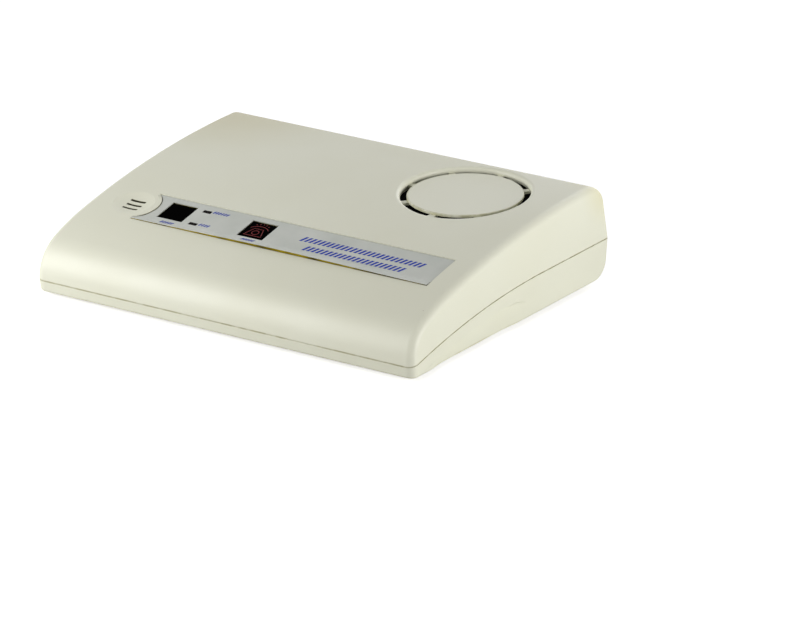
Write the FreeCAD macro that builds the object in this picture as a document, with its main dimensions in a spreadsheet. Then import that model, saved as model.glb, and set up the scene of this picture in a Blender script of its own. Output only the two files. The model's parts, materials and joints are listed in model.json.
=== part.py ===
import FreeCAD, Part
import math
import os
import re
import Sketcher
from types import SimpleNamespace
from FreeCAD import Placement, Rotation, Vector

# Medical alert base station, millimetres. X is to the right, Y to the back and Z up.
# The origin is under the middle of the case, on the surface that the feet stand on.

SIZES = {
    # case, outside
    "case_width": 207.5,
    "case_depth": 162.0,
    "case_height": 47.8,
    "foot_height": 1.8,
    "crown_peak_inset": 9.4,
    "shoulder_radius": 114.0,
    "brow_tilt": 24.8,
    "nose_radius": 19.0,
    "nose_rise": 1.35,
    "side_edge_radius": 4.0,
    "rear_top_radius": 10.0,
    "rear_foot_radius": 9.0,
    "edge_radius": 1.5,
    "side_draft": 3.5,
    "rear_draft": 8.0,
    "under_draft": 2.0,
    "rear_under_draft": 3.0,
    "front_under_draft": 8.0,
    "seam_height": 20.7,
    "seam_flat": 57.0,
    "seam_bend_radius": 425.0,
    # case, walls and seam
    "wall": 2.5,
    "seam_gap": 0.3,
    "lip_wall": 1.2,
    "lip_height": 2.0,
    "fit_gap": 0.3,
    "grip_depth": 2.4,
    "grip_front": 5.0,
    "grip_length": 96.0,
    "grip_front_rise": 2.4,
    "grip_middle_rise": 7.4,
    "grip_peak_rise": 11.2,
    "grip_lead": 24.0,
    "grip_tail": 29.0,
    "grip_round": 2.0,
    # loudspeaker opening
    "speaker_side_inset": 49.9,
    "speaker_back_inset": 44.5,
    "speaker_hole_radius": 30.0,
    "speaker_rim_round": 1.7,
    "grille_radius": 26.9,
    "grille_drop": 1.6,
    "grille_lean": 1.5,
    "grille_wall": 1.2,
    "grille_round": 0.3,
    "spoke_count": 8,
    "spoke_width": 3.0,
    "spoke_height": 1.3,
    "spoke_hold": 2.0,
    "spoke_bite": 0.2,
    "spoke_seat": 0.5,
    # loudspeaker
    "speaker_radius": 33.0,
    "speaker_seat_drop": 5.0,
    "speaker_seat_wall": 2.0,
    "cloth_thickness": 0.3,
    "speaker_flange": 1.2,
    "speaker_sheet": 0.8,
    "basket_depth": 10.0,
    "basket_radius": 17.0,
    "cone_radius": 27.0,
    "cone_neck_radius": 9.0,
    "cone_depth": 6.5,
    "cone_paper": 0.5,
    "dust_cap_rise": 2.6,
    "magnet_radius": 16.0,
    "magnet_length": 6.0,
    "clamp_radius": 37.0,
    "clamp_count": 3,
    "clamp_boss_radius": 3.0,
    "clamp_washer_radius": 5.0,
    "clamp_washer_thickness": 1.0,
    # control panel
    "panel_front_inset": 44.0,
    "panel_mic_gap": 7.2,
    "panel_end_inset": 14.4,
    "panel_depth": 24.1,
    "panel_recess": 1.1,
    "overlay_thickness": 0.5,
    "adhesive_thickness": 0.2,
    "overlay_edge_gap": 0.35,
    "adhesive_inset": 1.0,
    "key_width": 13.5,
    "key_length": 14.0,
    "key_round": 0.45,
    "key_gap": 0.4,
    "stop_key_step": 24.4,
    "help_key_step": 44.9,
    "key_back": 0.9,
    "key_sink": 0.7,
    "key_flange": 1.0,
    "key_flange_thickness": 0.8,
    "key_stem_radius": 2.2,
    "key_travel": 0.8,
    "switch_width": 12.0,
    "switch_height": 3.0,
    "plunger_radius": 3.4,
    "plunger_gap": 0.08,
    "plunger_rise": 1.2,
    "plunger_depth": 1.2,
    "plunger_spare": 0.2,
    "key_board_drop": 9.4,
    "key_board_thickness": 1.2,
    "key_board_left_reach": 14.8,
    "key_board_right_reach": 15.1,
    "key_board_depth": 25.0,
    "key_post_radius": 2.4,
    "key_post_inset": 3.2,
    "lamp_step": 13.2,
    "power_lamp_back": 6.4,
    "line_lamp_back": -5.2,
    "lamp_window_width": 4.3,
    "lamp_window_length": 2.0,
    "led_radius": 0.8,
    # microphone
    "mic_side_inset": 23.3,
    "mic_behind_panel": 0.5,
    "mic_dish_radius": 10.2,
    "mic_dish_depth": 1.7,
    "mic_border": 2.9,
    "mic_pad": 2.2,
    "mic_slot_count": 3,
    "mic_slot_length": 8.3,
    "mic_slot_width": 0.9,
    "mic_slot_pitch": 3.4,
    "mic_radius": 4.8,
    "mic_height": 5.0,
    "mic_boot_wall": 1.6,
    # fasteners
    "screw_gap": 0.12,
    "case_screw_radius": 1.5,
    "case_screw_head_radius": 2.9,
    "case_screw_head": 2.0,
    "case_screw_length": 16.0,
    "case_screw_side_inset": 13.0,
    "case_screw_front_inset": 24.0,
    "case_screw_back_inset": 15.0,
    "case_pillar_radius": 4.2,
    "case_pillar_foot": 12.0,
    "pedestal_border": 0.8,
    "small_screw_radius": 1.1,
    "small_screw_head_radius": 2.2,
    "small_screw_head": 1.3,
    "small_screw_length": 5.0,
    # feet
    "foot_radius": 7.0,
    "foot_sink": 1.0,
    "foot_round": 0.6,
    "foot_side_inset": 25.0,
    "foot_end_inset": 19.0,
    # main board
    "board_side_inset": 19.0,
    "board_back_inset": 8.0,
    "board_front_inset": 78.0,
    "board_height": 9.0,
    "board_thickness": 1.6,
    "board_post_radius": 3.4,
    "board_post_inset": 5.0,
    "chip_height": 3.2,
    "chip_lift": 0.6,
    "chip_leg_pitch": 2.54,
    "chip_leg_width": 0.5,
    "chip_leg_length": 1.2,
    "chip_leg_height": 2.4,
    "chip_leg_reach": 0.4,
    "header_height": 3.4,
    "header_length": 5.0,
    "plug_height": 5.0,
    # rear sockets
    "jack_width": 14.0,
    "jack_length": 16.0,
    "jack_height": 12.4,
    "socket_inset": 4.6,
    "jack_mouth_width": 10.0,
    "jack_mouth_height": 7.0,
    "jack_mouth_depth": 12.0,
    "jack_floor": 2.0,
    "latch_width": 4.0,
    "latch_depth": 6.0,
    "latch_floor": 1.0,
    "line_jack_step": 24.0,
    "phone_jack_step": 44.0,
    "contact_count": 4,
    "contact_pitch": 1.27,
    "contact_width": 0.5,
    "contact_height": 0.6,
    "contact_inset": 3.0,
    "slide_switch_step": 70.0,
    "slide_switch_width": 19.0,
    "slide_switch_length": 8.0,
    "slide_switch_height": 8.6,
    "slide_window_width": 9.0,
    "slide_window_height": 5.0,
    "slide_travel": 4.0,
    "slide_gap": 0.3,
    "slide_back_wall": 1.5,
    "inlet_step": 96.0,
    "inlet_width": 9.6,
    "inlet_length": 13.5,
    "inlet_height": 11.0,
    "inlet_bore_radius": 3.2,
    "inlet_depth": 9.5,
    "inlet_pin_radius": 1.0,
    "inlet_pin_inset": 1.5,
    "port_gap": 0.5,
    # standby battery
    "cell_count": 6,
    "cell_radius": 7.25,
    "cell_gap": 0.1,
    "cell_length": 50.5,
    "sleeve_wall": 0.3,
    "battery_front_inset": 14.0,
    "battery_gap": 1.6,
    "well_wall": 1.6,
    "cover_thickness": 1.6,
    "cover_overlap": 1.8,
    "cover_ear_width": 13.0,
    "cover_ear_length": 9.0,
    "ear_hole_shift": 0.5,
    "tongue_width": 9.0,
    "tongue_reach": 3.0,
    "tongue_thickness": 1.3,
    "tongue_root": 1.0,
    "tongue_spread": 30.0,
    # leads
    "lead_radius": 0.9,
    "antenna_radius": 0.5,
    "ribbon_width": 12.0,
    "ribbon_thickness": 0.8,
    "ribbon_step": 23.2,
}

doc = FreeCAD.newDocument("medical_alert_base_station")
sheet = doc.addObject("Spreadsheet::Sheet", "Sizes")
for row, (word, number) in enumerate(SIZES.items(), start=1):
    sheet.set(f"A{row}", word)
    sheet.set(f"B{row}", str(number))
    sheet.setAlias(f"B{row}", word)
doc.recompute()
mm = SimpleNamespace(**{word: float(sheet.get(word)) for word in SIZES})

WORD = re.compile(r"[a-z][a-z_]*")
# helper solids reach this far past the case, above its seam and below it
REACH = 40.0
TALL = 60.0
DEEP = 25.0
# a cutting solid runs this far past the face that it opens
PAST = 1
# share of an outer edge's small radius that is kept inside the wall
LEAST_ROUND = 0.3
EVERY_SIDE = (-1, 1)
UP = Vector(0, 0, 1)
TO_BACK = Vector(0, 1, 0)
UPSIDE_DOWN = Rotation(Vector(1, 0, 0), 180)


# Expressions and places

def bound(text):
    """the text with each size's name pointing to its cell"""
    return WORD.sub(lambda found: f"Sizes.{found[0]}" if found[0] in SIZES else found[0], str(text))


def value(text):
    """the number that an expression in the sizes comes to"""
    return float(sheet.evalExpression(str(text)))


def sind(angle):
    return math.sin(math.radians(angle))


def cosd(angle):
    return math.cos(math.radians(angle))


def tand(angle):
    return math.tan(math.radians(angle))


def moved(frame, x=0.0, y=0.0, z=0.0):
    """a place given in a frame's own directions"""
    return frame.multiply(Placement(Vector(x, y, z), Rotation()))


WORLD = Placement()


# Building blocks

def box(name, size, low, frame=WORLD):
    """a box from its low corner, its three sizes bound to the sheet"""
    feature = doc.addObject("Part::Box", name)
    feature.Label = name
    for side, text in zip(("Length", "Width", "Height"), size):
        feature.setExpression(side, bound(text))
    feature.Placement = moved(frame, *[value(text) for text in low])
    return feature


def slab(name, size, centre, frame=WORLD):
    """a box from the middle of its under face"""
    low = (f"{centre[0]} - ({size[0]}) / 2", f"{centre[1]} - ({size[1]}) / 2", centre[2])
    return box(name, size, low, frame)


def cylinder(name, radius, height, foot, frame=WORLD, axis=None):
    """a cylinder from the middle of its foot, along Z unless an axis is given"""
    feature = doc.addObject("Part::Cylinder", name)
    feature.Label = name
    feature.setExpression("Radius", bound(radius))
    feature.setExpression("Height", bound(height))
    turn = Rotation(Vector(0, 0, 1), axis) if axis else Rotation()
    feature.Placement = moved(frame, *[value(text) for text in foot]).multiply(Placement(Vector(), turn))
    return feature


def fuse(name, parts):
    if len(parts) == 1:
        parts[0].Label = name
        return parts[0]
    feature = doc.addObject("Part::MultiFuse", name)
    feature.Label = name
    feature.Shapes = parts
    return feature


def group(name, parts):
    """separate solids kept together under one name"""
    feature = doc.addObject("Part::Compound", name)
    feature.Label = name
    feature.Links = parts
    return feature


def cut(name, base, tools):
    feature = doc.addObject("Part::Cut", name)
    feature.Label = name
    feature.Base = base
    feature.Tool = tools[0] if len(tools) == 1 else fuse(name + "_cuts", tools)
    return feature


def common(name, first, second):
    feature = doc.addObject("Part::Common", name)
    feature.Label = name
    feature.Base = first
    feature.Tool = second
    return feature


def origin_plane(body, role):
    return [item for item in body.Origin.OriginFeatures if item.Role == role][0]


def outline_sketch(body, role, corners):
    """a closed outline whose corners are bound by their distances from the origin"""
    sketch = body.newObject("Sketcher::SketchObject", body.Name + "_outline")
    sketch.AttachmentSupport = [(origin_plane(body, role), "")]
    sketch.MapMode = "FlatFace"
    points = [Vector(value(x), value(y), 0) for x, y in corners]
    for start, end in zip(points, points[1:] + points[:1]):
        sketch.addGeometry(Part.LineSegment(start, end), False)
    for number in range(len(corners)):
        after = (number + 1) % len(corners)
        sketch.addConstraint(Sketcher.Constraint("Coincident", number, 2, after, 1))
    for number, (x, y) in enumerate(corners):
        for kind, text, here in (("DistanceX", x, points[number].x), ("DistanceY", y, points[number].y)):
            index = sketch.addConstraint(Sketcher.Constraint(kind, -1, 1, number, 1, here))
            sketch.setExpression(f"Constraints[{index}]", bound(text))
    return sketch


def new_body(name, frame):
    body = doc.addObject("PartDesign::Body", name)
    body.Label = name
    body.Placement = frame
    return body


def turned(name, corners, frame=WORLD):
    """an outline of (radius, height) corners, turned about the frame's Z"""
    body = new_body(name, frame)
    sketch = outline_sketch(body, "XZ_Plane", corners)
    turn = body.newObject("PartDesign::Revolution", name + "_turn")
    turn.Profile = sketch
    turn.ReferenceAxis = (sketch, ["V_Axis"])
    turn.Angle = 360.0
    return body


# shares of a pan head's radius that is flat, of its height that is straight, and of a shank's blunt end
PAN_FLAT = 0.8
PAN_STRAIGHT = 0.6
BLUNT_END = 0.3


def screw(name, foot, radius, length, head_radius, head, frame=WORLD):
    """a pan-head screw that points up its frame's Z from the underside of its head"""
    corners = [("0", f"-({head})"), (f"{head_radius} * {PAN_FLAT}", f"-({head})"),
               (head_radius, f"-({head}) * {PAN_STRAIGHT}"), (head_radius, "0"), (radius, "0"),
               (radius, f"{length} - {radius}"), (f"{radius} * {BLUNT_END}", length), ("0", length)]
    return turned(name, corners, moved(frame, *[value(text) for text in foot]))


def every_pair(across, along_y):
    """a place for each X with each Y"""
    return [(x, y) for x in across for y in along_y]


nodes = {}


def node(feature, name=None):
    if name:
        feature.Label = name
    nodes[feature.Label] = feature
    return feature


# Case profile: one arc each for the crown, shoulder, nose and top rear edge

FRONT = -mm.case_depth / 2
BACK = mm.case_depth / 2
SIDE = mm.case_width / 2
SEAM_TURN = BACK - mm.seam_flat


def seam_z(y):
    """height of the seam: level at the back, then a long bend down to the front"""
    if y >= SEAM_TURN:
        return mm.seam_height
    reach = SEAM_TURN - y
    return mm.seam_height - mm.seam_bend_radius + math.sqrt(mm.seam_bend_radius ** 2 - reach ** 2)


def slope_normal(tilt):
    """outward direction of a surface that falls towards the front by this angle, as (y, z)"""
    return (-sind(tilt), cosd(tilt))


def along(point, direction, distance):
    return (point[0] + direction[0] * distance, point[1] + direction[1] * distance)


def case_profile():
    """centres of the profile's arcs, each tangent to the next"""
    nose_z = seam_z(FRONT) + mm.nose_rise
    peak = BACK - mm.crown_peak_inset
    drop = mm.shoulder_radius - mm.nose_radius
    run = peak - FRONT - mm.nose_radius - drop * sind(mm.brow_tilt)
    rise = mm.case_height - nose_z - mm.shoulder_radius + drop * cosd(mm.brow_tilt)
    crown_tilt = 2 * math.degrees(math.atan2(rise, run))
    crown_radius = run / sind(crown_tilt) + mm.shoulder_radius
    crown = (peak, mm.case_height - crown_radius)
    shoulder = along(crown, slope_normal(crown_tilt), crown_radius - mm.shoulder_radius)
    nose = along(shoulder, slope_normal(mm.brow_tilt), drop)
    # the top rear arc touches the crown from inside and the drafted rear wall
    up_wall = (-sind(mm.rear_draft), cosd(mm.rear_draft))
    start = along((BACK, mm.seam_height), (-cosd(mm.rear_draft), -sind(mm.rear_draft)), mm.rear_top_radius)
    offset = (start[0] - crown[0], start[1] - crown[1])
    ahead = up_wall[0] * offset[0] + up_wall[1] * offset[1]
    far = (crown_radius - mm.rear_top_radius) ** 2 - offset[0] ** 2 - offset[1] ** 2
    rear = along(start, up_wall, math.sqrt(ahead ** 2 + far) - ahead)
    rear_tilt = math.degrees(math.atan2(crown[0] - rear[0], rear[1] - crown[1]))
    return SimpleNamespace(crown=crown, crown_radius=crown_radius, crown_tilt=crown_tilt, shoulder=shoulder,
                           nose=nose, rear=rear, rear_tilt=rear_tilt)


PROFILE = case_profile()


def crown_point(y):
    """height and tilt of the top surface on the crown arc"""
    tilt = math.degrees(math.asin((PROFILE.crown[0] - y) / PROFILE.crown_radius))
    return PROFILE.crown[1] + PROFILE.crown_radius * cosd(tilt), tilt


def crown_frame(x, y):
    """a frame that stands on the crown, its Z square to the surface"""
    z, tilt = crown_point(y)
    return Placement(Vector(x, y, z), Rotation(Vector(1, 0, 0), tilt))


def at_x(point, x):
    return Vector(x, point[0], point[1])


def line(start, end, x):
    return Part.makeLine(at_x(start, x), at_x(end, x))


def arc(centre, radius, tilt_a, tilt_b, x):
    tilts = (tilt_a, (tilt_a + tilt_b) / 2, tilt_b)
    return Part.Arc(*[at_x(along(centre, slope_normal(tilt), radius), x) for tilt in tilts]).toShape()


def prism(edges, x, length):
    """a closed outline in the YZ plane, drawn out along X"""
    return Part.Face(Part.Wire(Part.__sortEdges__(edges))).extrude(Vector(length, 0, 0))


def seam_edges(y_back, y_front, lift, x):
    middle = (SEAM_TURN + y_front) / 2
    bend = [at_x((y, seam_z(y) + lift), x) for y in (SEAM_TURN, middle, y_front)]
    return [line((y_back, mm.seam_height + lift), (SEAM_TURN, mm.seam_height + lift), x),
            Part.Arc(*bend).toShape()]


def under_seam(lift):
    """all that lies under the seam surface, raised by lift"""
    x = -(SIDE + REACH)
    back = BACK + REACH
    front = FRONT - REACH
    edges = seam_edges(back, front, lift, x)
    edges.append(line((front, seam_z(front) + lift), (front, -REACH), x))
    edges.append(line((front, -REACH), (back, -REACH), x))
    edges.append(line((back, -REACH), (back, mm.seam_height + lift), x))
    return prism(edges, x, -2 * x)


def beyond_sides(inset, draft, rising):
    """what lies outside both side walls, which lean in from the seam by the draft"""
    x = SIDE - inset / cosd(draft)
    step = Vector(-tand(draft), 0, 1 if rising else -1)
    wire = Part.Wire(Part.__sortEdges__(seam_edges(BACK + REACH, FRONT - REACH, 0, x)))
    slab = wire.extrude(Vector(REACH, 0, 0))
    slab.translate(step * -(TALL + REACH / 2))
    right = slab.extrude(step * (2 * TALL + REACH))
    return [right, right.mirror(Vector(0, 0, 0), Vector(1, 0, 0))]


def middle_of(edge):
    return edge.valueAt((edge.FirstParameter + edge.LastParameter) / 2)


def side_edges(block):
    """number and edge of each edge where a side wall meets the rest"""
    walls = []
    for face in block.Faces:
        u_low, u_high, v_low, v_high = face.ParameterRange
        if abs(face.normalAt((u_low + u_high) / 2, (v_low + v_high) / 2).x) > 0.9:
            walls.append(face)
    found = []
    for number, edge in enumerate(block.Edges, start=1):
        touching = sum(1 for wall in walls for other in wall.Edges if other.isSame(edge))
        if touching == 1:
            found.append((number, edge))
    return found


def plain_feature(name, shape):
    feature = doc.addObject("Part::Feature", name)
    feature.Label = name
    feature.Shape = shape
    return feature


def rounded(name, base, edges):
    """base with each numbered edge rounded from one radius to the other"""
    feature = doc.addObject("Part::Fillet", name)
    feature.Base = base
    feature.Edges = edges
    doc.recompute()
    return feature


def upper_outline(inset, x):
    """outline of the upper block, run on below the seam"""
    front = FRONT + inset
    back = BACK - inset / cosd(mm.rear_draft) + tand(mm.rear_draft) * (mm.seam_height + DEEP)
    tilt = PROFILE.rear_tilt
    top = along(PROFILE.rear, (cosd(mm.rear_draft), sind(mm.rear_draft)), mm.rear_top_radius - inset)
    return [
        line((front, -DEEP), (front, PROFILE.nose[1]), x),
        arc(PROFILE.nose, mm.nose_radius - inset, 90, mm.brow_tilt, x),
        arc(PROFILE.shoulder, mm.shoulder_radius - inset, mm.brow_tilt, PROFILE.crown_tilt, x),
        arc(PROFILE.crown, PROFILE.crown_radius - inset, PROFILE.crown_tilt, tilt, x),
        arc(PROFILE.rear, mm.rear_top_radius - inset, tilt, mm.rear_draft - 90, x),
        line(top, (back, -DEEP), x),
        line((back, -DEEP), (front, -DEEP), x),
    ]


def plain_upper(inset):
    half = SIDE + REACH / 2
    return prism(upper_outline(inset, -half), -half, 2 * half)


def upper_block(name, inset):
    """the upper shell's outer form, moved in by inset, before it is cut at the seam"""
    block = plain_upper(inset).cut(beyond_sides(inset, mm.side_draft, True)).Solids[0]
    base = plain_feature(name + "_block", block)
    large = mm.side_edge_radius - inset
    small = max(mm.edge_radius - inset, LEAST_ROUND * mm.edge_radius)
    arc_foot = PROFILE.rear[1] + (mm.rear_top_radius - inset) * sind(mm.rear_draft)
    edges = []
    for number, edge in side_edges(base.Shape):
        middle = middle_of(edge)
        if middle.z < 0.5 - DEEP or middle.x < 0:
            continue
        ends = (edge.valueAt(edge.FirstParameter), edge.valueAt(edge.LastParameter))
        if middle.y < PROFILE.rear[0]:
            edges.append((number, large, large))
        elif middle.z < arc_foot:
            edges.append((number, small, small))
        elif ends[0].z > ends[1].z:
            edges.append((number, large, small))
        else:
            edges.append((number, small, large))
    right = common(name + "_right", rounded(name + "_rounded", base, edges), right_room)
    left = doc.addObject("Part::Mirroring", name + "_left")
    left.Source = right
    left.Normal = Vector(1, 0, 0)
    whole = fuse(name, [right, left])
    whole.Refine = True
    return whole


def lower_block(name, inset):
    """the lower shell's outer form, moved in by inset, before it is cut at the seam"""
    half = SIDE + REACH / 2
    floor = mm.foot_height + inset
    front = FRONT + inset / cosd(mm.front_under_draft)
    back = BACK - inset / cosd(mm.rear_under_draft)
    front_top = (front - (TALL - seam_z(FRONT)) * tand(mm.front_under_draft), TALL)
    front_low = (front + (seam_z(FRONT) - floor) * tand(mm.front_under_draft), floor)
    back_low = (back - (mm.seam_height - floor) * tand(mm.rear_under_draft), floor)
    back_top = (back + (TALL - mm.seam_height) * tand(mm.rear_under_draft), TALL)
    corners = (front_top, front_low, back_low, back_top, front_top)
    outline = Part.makePolygon([at_x(point, -half) for point in corners])
    block = Part.Face(outline).extrude(Vector(2 * half, 0, 0))
    heel = [edge for edge in block.Edges if abs(middle_of(edge).y - back_low[0]) < 0.1
            and abs(middle_of(edge).x) < 1]
    block = block.makeFillet(mm.rear_foot_radius - inset, heel)
    block = block.cut(beyond_sides(inset, mm.under_draft, False)).Solids[0]
    front_edges = [edge for _, edge in side_edges(block) if middle_of(edge).y < FRONT / 2
                   and floor + 0.1 < middle_of(edge).z < TALL - 0.1]
    block = block.makeFillet(mm.side_edge_radius - inset, front_edges)
    base = plain_feature(name + "_block", block)
    small = max(mm.edge_radius - inset, LEAST_ROUND * mm.edge_radius)
    sole = [face for face in block.Faces if abs(face.CenterOfMass.z - floor) < 0.01][0]
    edges = []
    for number, edge in enumerate(block.Edges, start=1):
        middle = middle_of(edge)
        round_sole = any(edge.isSame(other) for other in sole.Edges) and not (
            middle.y > BACK / 2 and abs(middle.x) < 1)
        if round_sole or (middle.y > BACK / 2 and abs(middle.x) > SIDE / 2 and middle.z < TALL - 1):
            edges.append((number, small, small))
    return rounded(name, base, edges)


# Case skins

right_room = box("right_room", ("case_width", "2 * case_depth", "3 * case_height"),
                 ("0", "-case_depth", "-1.5 * case_height"))
upper_outside = upper_block("upper_outside", 0.0)
upper_inside = upper_block("upper_inside", mm.wall)
rebate_block = upper_block("rebate_block", mm.wall - mm.lip_wall - mm.fit_gap)
lip_block = upper_block("lip_block", mm.wall - mm.lip_wall)
lower_outside = lower_block("lower_outside", 0.0)
lower_inside = lower_block("lower_inside", mm.wall)

below_top = plain_feature("below_top", under_seam(mm.seam_gap / 2))
below_bottom = plain_feature("below_bottom", under_seam(-mm.seam_gap / 2))
below_lip = plain_feature("below_lip", under_seam(mm.lip_height))
below_rebate = plain_feature("below_rebate", under_seam(mm.lip_height + mm.fit_gap))
below_lip_root = plain_feature("below_lip_root", under_seam(-mm.lip_height))

upper_hollow = cut("upper_hollow", upper_outside, [upper_inside, below_top])
rebate = common("rebate", rebate_block, below_rebate)
upper_skin = cut("upper_skin", upper_hollow, [rebate])

lower_hollow = cut("lower_hollow", lower_outside, [lower_inside])
lower_open = common("lower_open", lower_hollow, below_bottom)
lip_ring = cut("lip_ring", lip_block, [upper_inside, below_lip_root])
lip = common("lip", lip_ring, below_lip)


# Places on the case

SPEAKER_X = "case_width / 2 - speaker_side_inset"
SPEAKER_Y = "case_depth / 2 - speaker_back_inset"
PANEL_Y = "panel_front_inset - case_depth / 2"
MIC_X = "mic_side_inset - case_width / 2"
MIC_Y = f"{PANEL_Y} + mic_behind_panel"
PANEL_LEFT = f"{MIC_X} + panel_mic_gap"
PANEL_LENGTH = f"case_width / 2 - panel_end_inset - ({PANEL_LEFT})"
STOP_X = f"{MIC_X} + stop_key_step"
HELP_X = f"{STOP_X} + help_key_step"
LAMP_X = f"{STOP_X} + lamp_step"
KEY_BOARD_LEFT = f"{STOP_X} - key_board_left_reach"
KEY_BOARD_RIGHT = f"{HELP_X} + key_board_right_reach"
BOARD_LEFT = "board_side_inset - case_width / 2"
BOARD_RIGHT = "case_width / 2 - board_side_inset"
BOARD_FRONT = "board_front_inset - case_depth / 2"
BOARD_BACK = "case_depth / 2 - board_back_inset"
SOCKET_BACK = "case_depth / 2 - socket_inset"
BATTERY_FRONT = "battery_front_inset - case_depth / 2"

panel = crown_frame(0, value(PANEL_Y))
speaker = crown_frame(value(SPEAKER_X), value(SPEAKER_Y))
dish = crown_frame(value(MIC_X), value(MIC_Y))
CASE_SCREWS = every_pair(
    ("case_screw_side_inset - case_width / 2", "case_width / 2 - case_screw_side_inset"),
    ("case_screw_front_inset - case_depth / 2", "case_depth / 2 - case_screw_back_inset"))
FEET = every_pair(("foot_side_inset - case_width / 2", "case_width / 2 - foot_side_inset"),
                  ("foot_end_inset - case_depth / 2", "case_depth / 2 - foot_end_inset"))
KEYS = {"stop": STOP_X, "help": HELP_X}
LAMPS = {"power": "power_lamp_back", "line": "line_lamp_back"}
JACKS = {"line_jack": f"{BOARD_LEFT} + line_jack_step", "phone_jack": f"{BOARD_LEFT} + phone_jack_step"}
SWITCH_X = f"{BOARD_LEFT} + slide_switch_step"
INLET_X = f"{BOARD_LEFT} + inlet_step"
BOARD_POSTS = every_pair((f"{BOARD_LEFT} + board_post_inset", f"{BOARD_RIGHT} - board_post_inset"),
                         (f"{BOARD_FRONT} + board_post_inset", f"{BOARD_BACK} - board_post_inset"))
KEY_POSTS = every_pair((f"{KEY_BOARD_LEFT} + key_post_inset", f"{KEY_BOARD_RIGHT} - key_post_inset"),
                       ("key_post_inset - key_board_depth / 2", "key_board_depth / 2 - key_post_inset"))
CLAMPS = [-90 + 360 * number / mm.clamp_count for number in range(int(mm.clamp_count))]


def on_clamp(angle, radius="clamp_radius"):
    return (f"{radius} * cos({angle})", f"{radius} * sin({angle})")


# Speaker opening: round hole with a rolled rim, and a flat disc on spokes that hang under it

speaker_hole = cylinder("speaker_hole", "speaker_hole_radius", "2 * speaker_seat_drop",
                        ("0", "0", "-speaker_seat_drop"), speaker)
holed_skin = cut("holed_skin", upper_skin, [speaker_hole])
doc.recompute()


def rounded_where(name, base, frame, wanted, radius):
    """base with a radius on each edge whose middle, seen in the frame, is wanted"""
    edges = []
    for number, edge in enumerate(base.Shape.Edges, start=1):
        if wanted(frame.inverse().multVec(middle_of(edge)), edge):
            edges.append((number, radius, radius))
    return rounded(name, base, edges)


def on_outer_rim(local, edge):
    beside = abs(math.hypot(local.x, local.y) - mm.speaker_hole_radius) < mm.grille_round
    return beside and local.z > -mm.wall / 2 and edge.Length > mm.speaker_hole_radius / 4


rolled_skin = rounded_where("rolled_skin", holed_skin, speaker, on_outer_rim, mm.speaker_rim_round)

lean_back = Rotation(Vector(1, 0, 0), -mm.grille_lean)
grille = speaker.multiply(Placement(Vector(0, 0, -mm.grille_drop), lean_back))
grille_blank = cylinder("grille_blank", "grille_radius", "grille_wall", ("0", "0", "-grille_wall"), grille)
SPOKE_LENGTH = "speaker_radius - speaker_seat_wall + spoke_seat - grille_radius + spoke_hold"
SPOKE_LOW = "spoke_bite - grille_wall - spoke_height"
spoke_bars = []
for number in range(int(mm.spoke_count)):
    turn = Placement(Vector(), Rotation(UP, 360 * number / mm.spoke_count))
    spoke_bars.append(box(f"spoke_bar_{number}", (SPOKE_LENGTH, "spoke_width", "spoke_height"),
                          ("grille_radius - spoke_hold", "-spoke_width / 2", SPOKE_LOW),
                          grille.multiply(turn)))
doc.recompute()


def on_grille_rim(local, edge):
    return abs(local.z) < mm.grille_round and edge.Length > mm.grille_radius


grille_disc = rounded_where("grille_disc", grille_blank, grille, on_grille_rim, mm.grille_round)

speaker_seat = turned("speaker_seat", [
    ("speaker_radius - speaker_seat_wall", "-speaker_seat_drop"), ("speaker_radius", "-speaker_seat_drop"),
    ("speaker_radius", "-wall / 2"), ("speaker_radius - speaker_seat_wall", "-wall / 2")], speaker)
clamp_bosses = [cylinder(f"clamp_boss_{number}", "clamp_boss_radius",
                         "speaker_seat_drop + cloth_thickness + speaker_flange - wall",
                         (*on_clamp(angle), "-speaker_seat_drop - cloth_thickness - speaker_flange"), speaker)
                for number, angle in enumerate(CLAMPS)]
clamp_holes = [cylinder(f"clamp_hole_{number}", "small_screw_radius + screw_gap",
                        "small_screw_length - clamp_washer_thickness + screw_gap",
                        (*on_clamp(angle), "-speaker_seat_drop - cloth_thickness - speaker_flange"), speaker)
               for number, angle in enumerate(CLAMPS)]


# Control panel: recess, key openings, lamp openings and the posts for the key board

RECESS_FLOOR = "-panel_recess"
panel_box = box("panel_box", (PANEL_LENGTH, "panel_depth", "2 * panel_recess"),
                (PANEL_LEFT, "-panel_depth / 2", RECESS_FLOOR), panel)
ear_rim = cylinder("ear_rim", "mic_dish_radius + mic_border", "4 * panel_recess",
                   ("0", "0", "-2 * panel_recess"), dish)
panel_recess = cut("panel_recess_tool", panel_box, [ear_rim])

KEY_HOLE = ("key_width + 2 * key_gap", "key_length + 2 * key_gap")
LAMP_HOLE = ("lamp_window_width + fit_gap", "lamp_window_length + fit_gap")
key_openings = [slab(f"{key}_opening", (*KEY_HOLE, "3 * wall"), (x, "key_back", "-2 * wall"), panel)
                for key, x in KEYS.items()]
lamp_openings = [slab(f"{lamp}_opening", (*LAMP_HOLE, "3 * wall"), (LAMP_X, back, "-2 * wall"), panel)
                 for lamp, back in LAMPS.items()]
key_posts = [cylinder(f"key_post_{number}", "key_post_radius",
                      "key_board_drop - key_board_thickness - (panel_recess + wall) / 2",
                      (x, y, "key_board_thickness - key_board_drop"), panel)
             for number, (x, y) in enumerate(KEY_POSTS)]
key_post_holes = [cylinder(f"key_post_hole_{number}", "small_screw_radius + screw_gap", "small_screw_length",
                           (x, y, "key_board_thickness - key_board_drop"), panel)
                  for number, (x, y) in enumerate(KEY_POSTS)]


# Microphone dish: a shallow hollow with three slots, and a pad behind it

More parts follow.
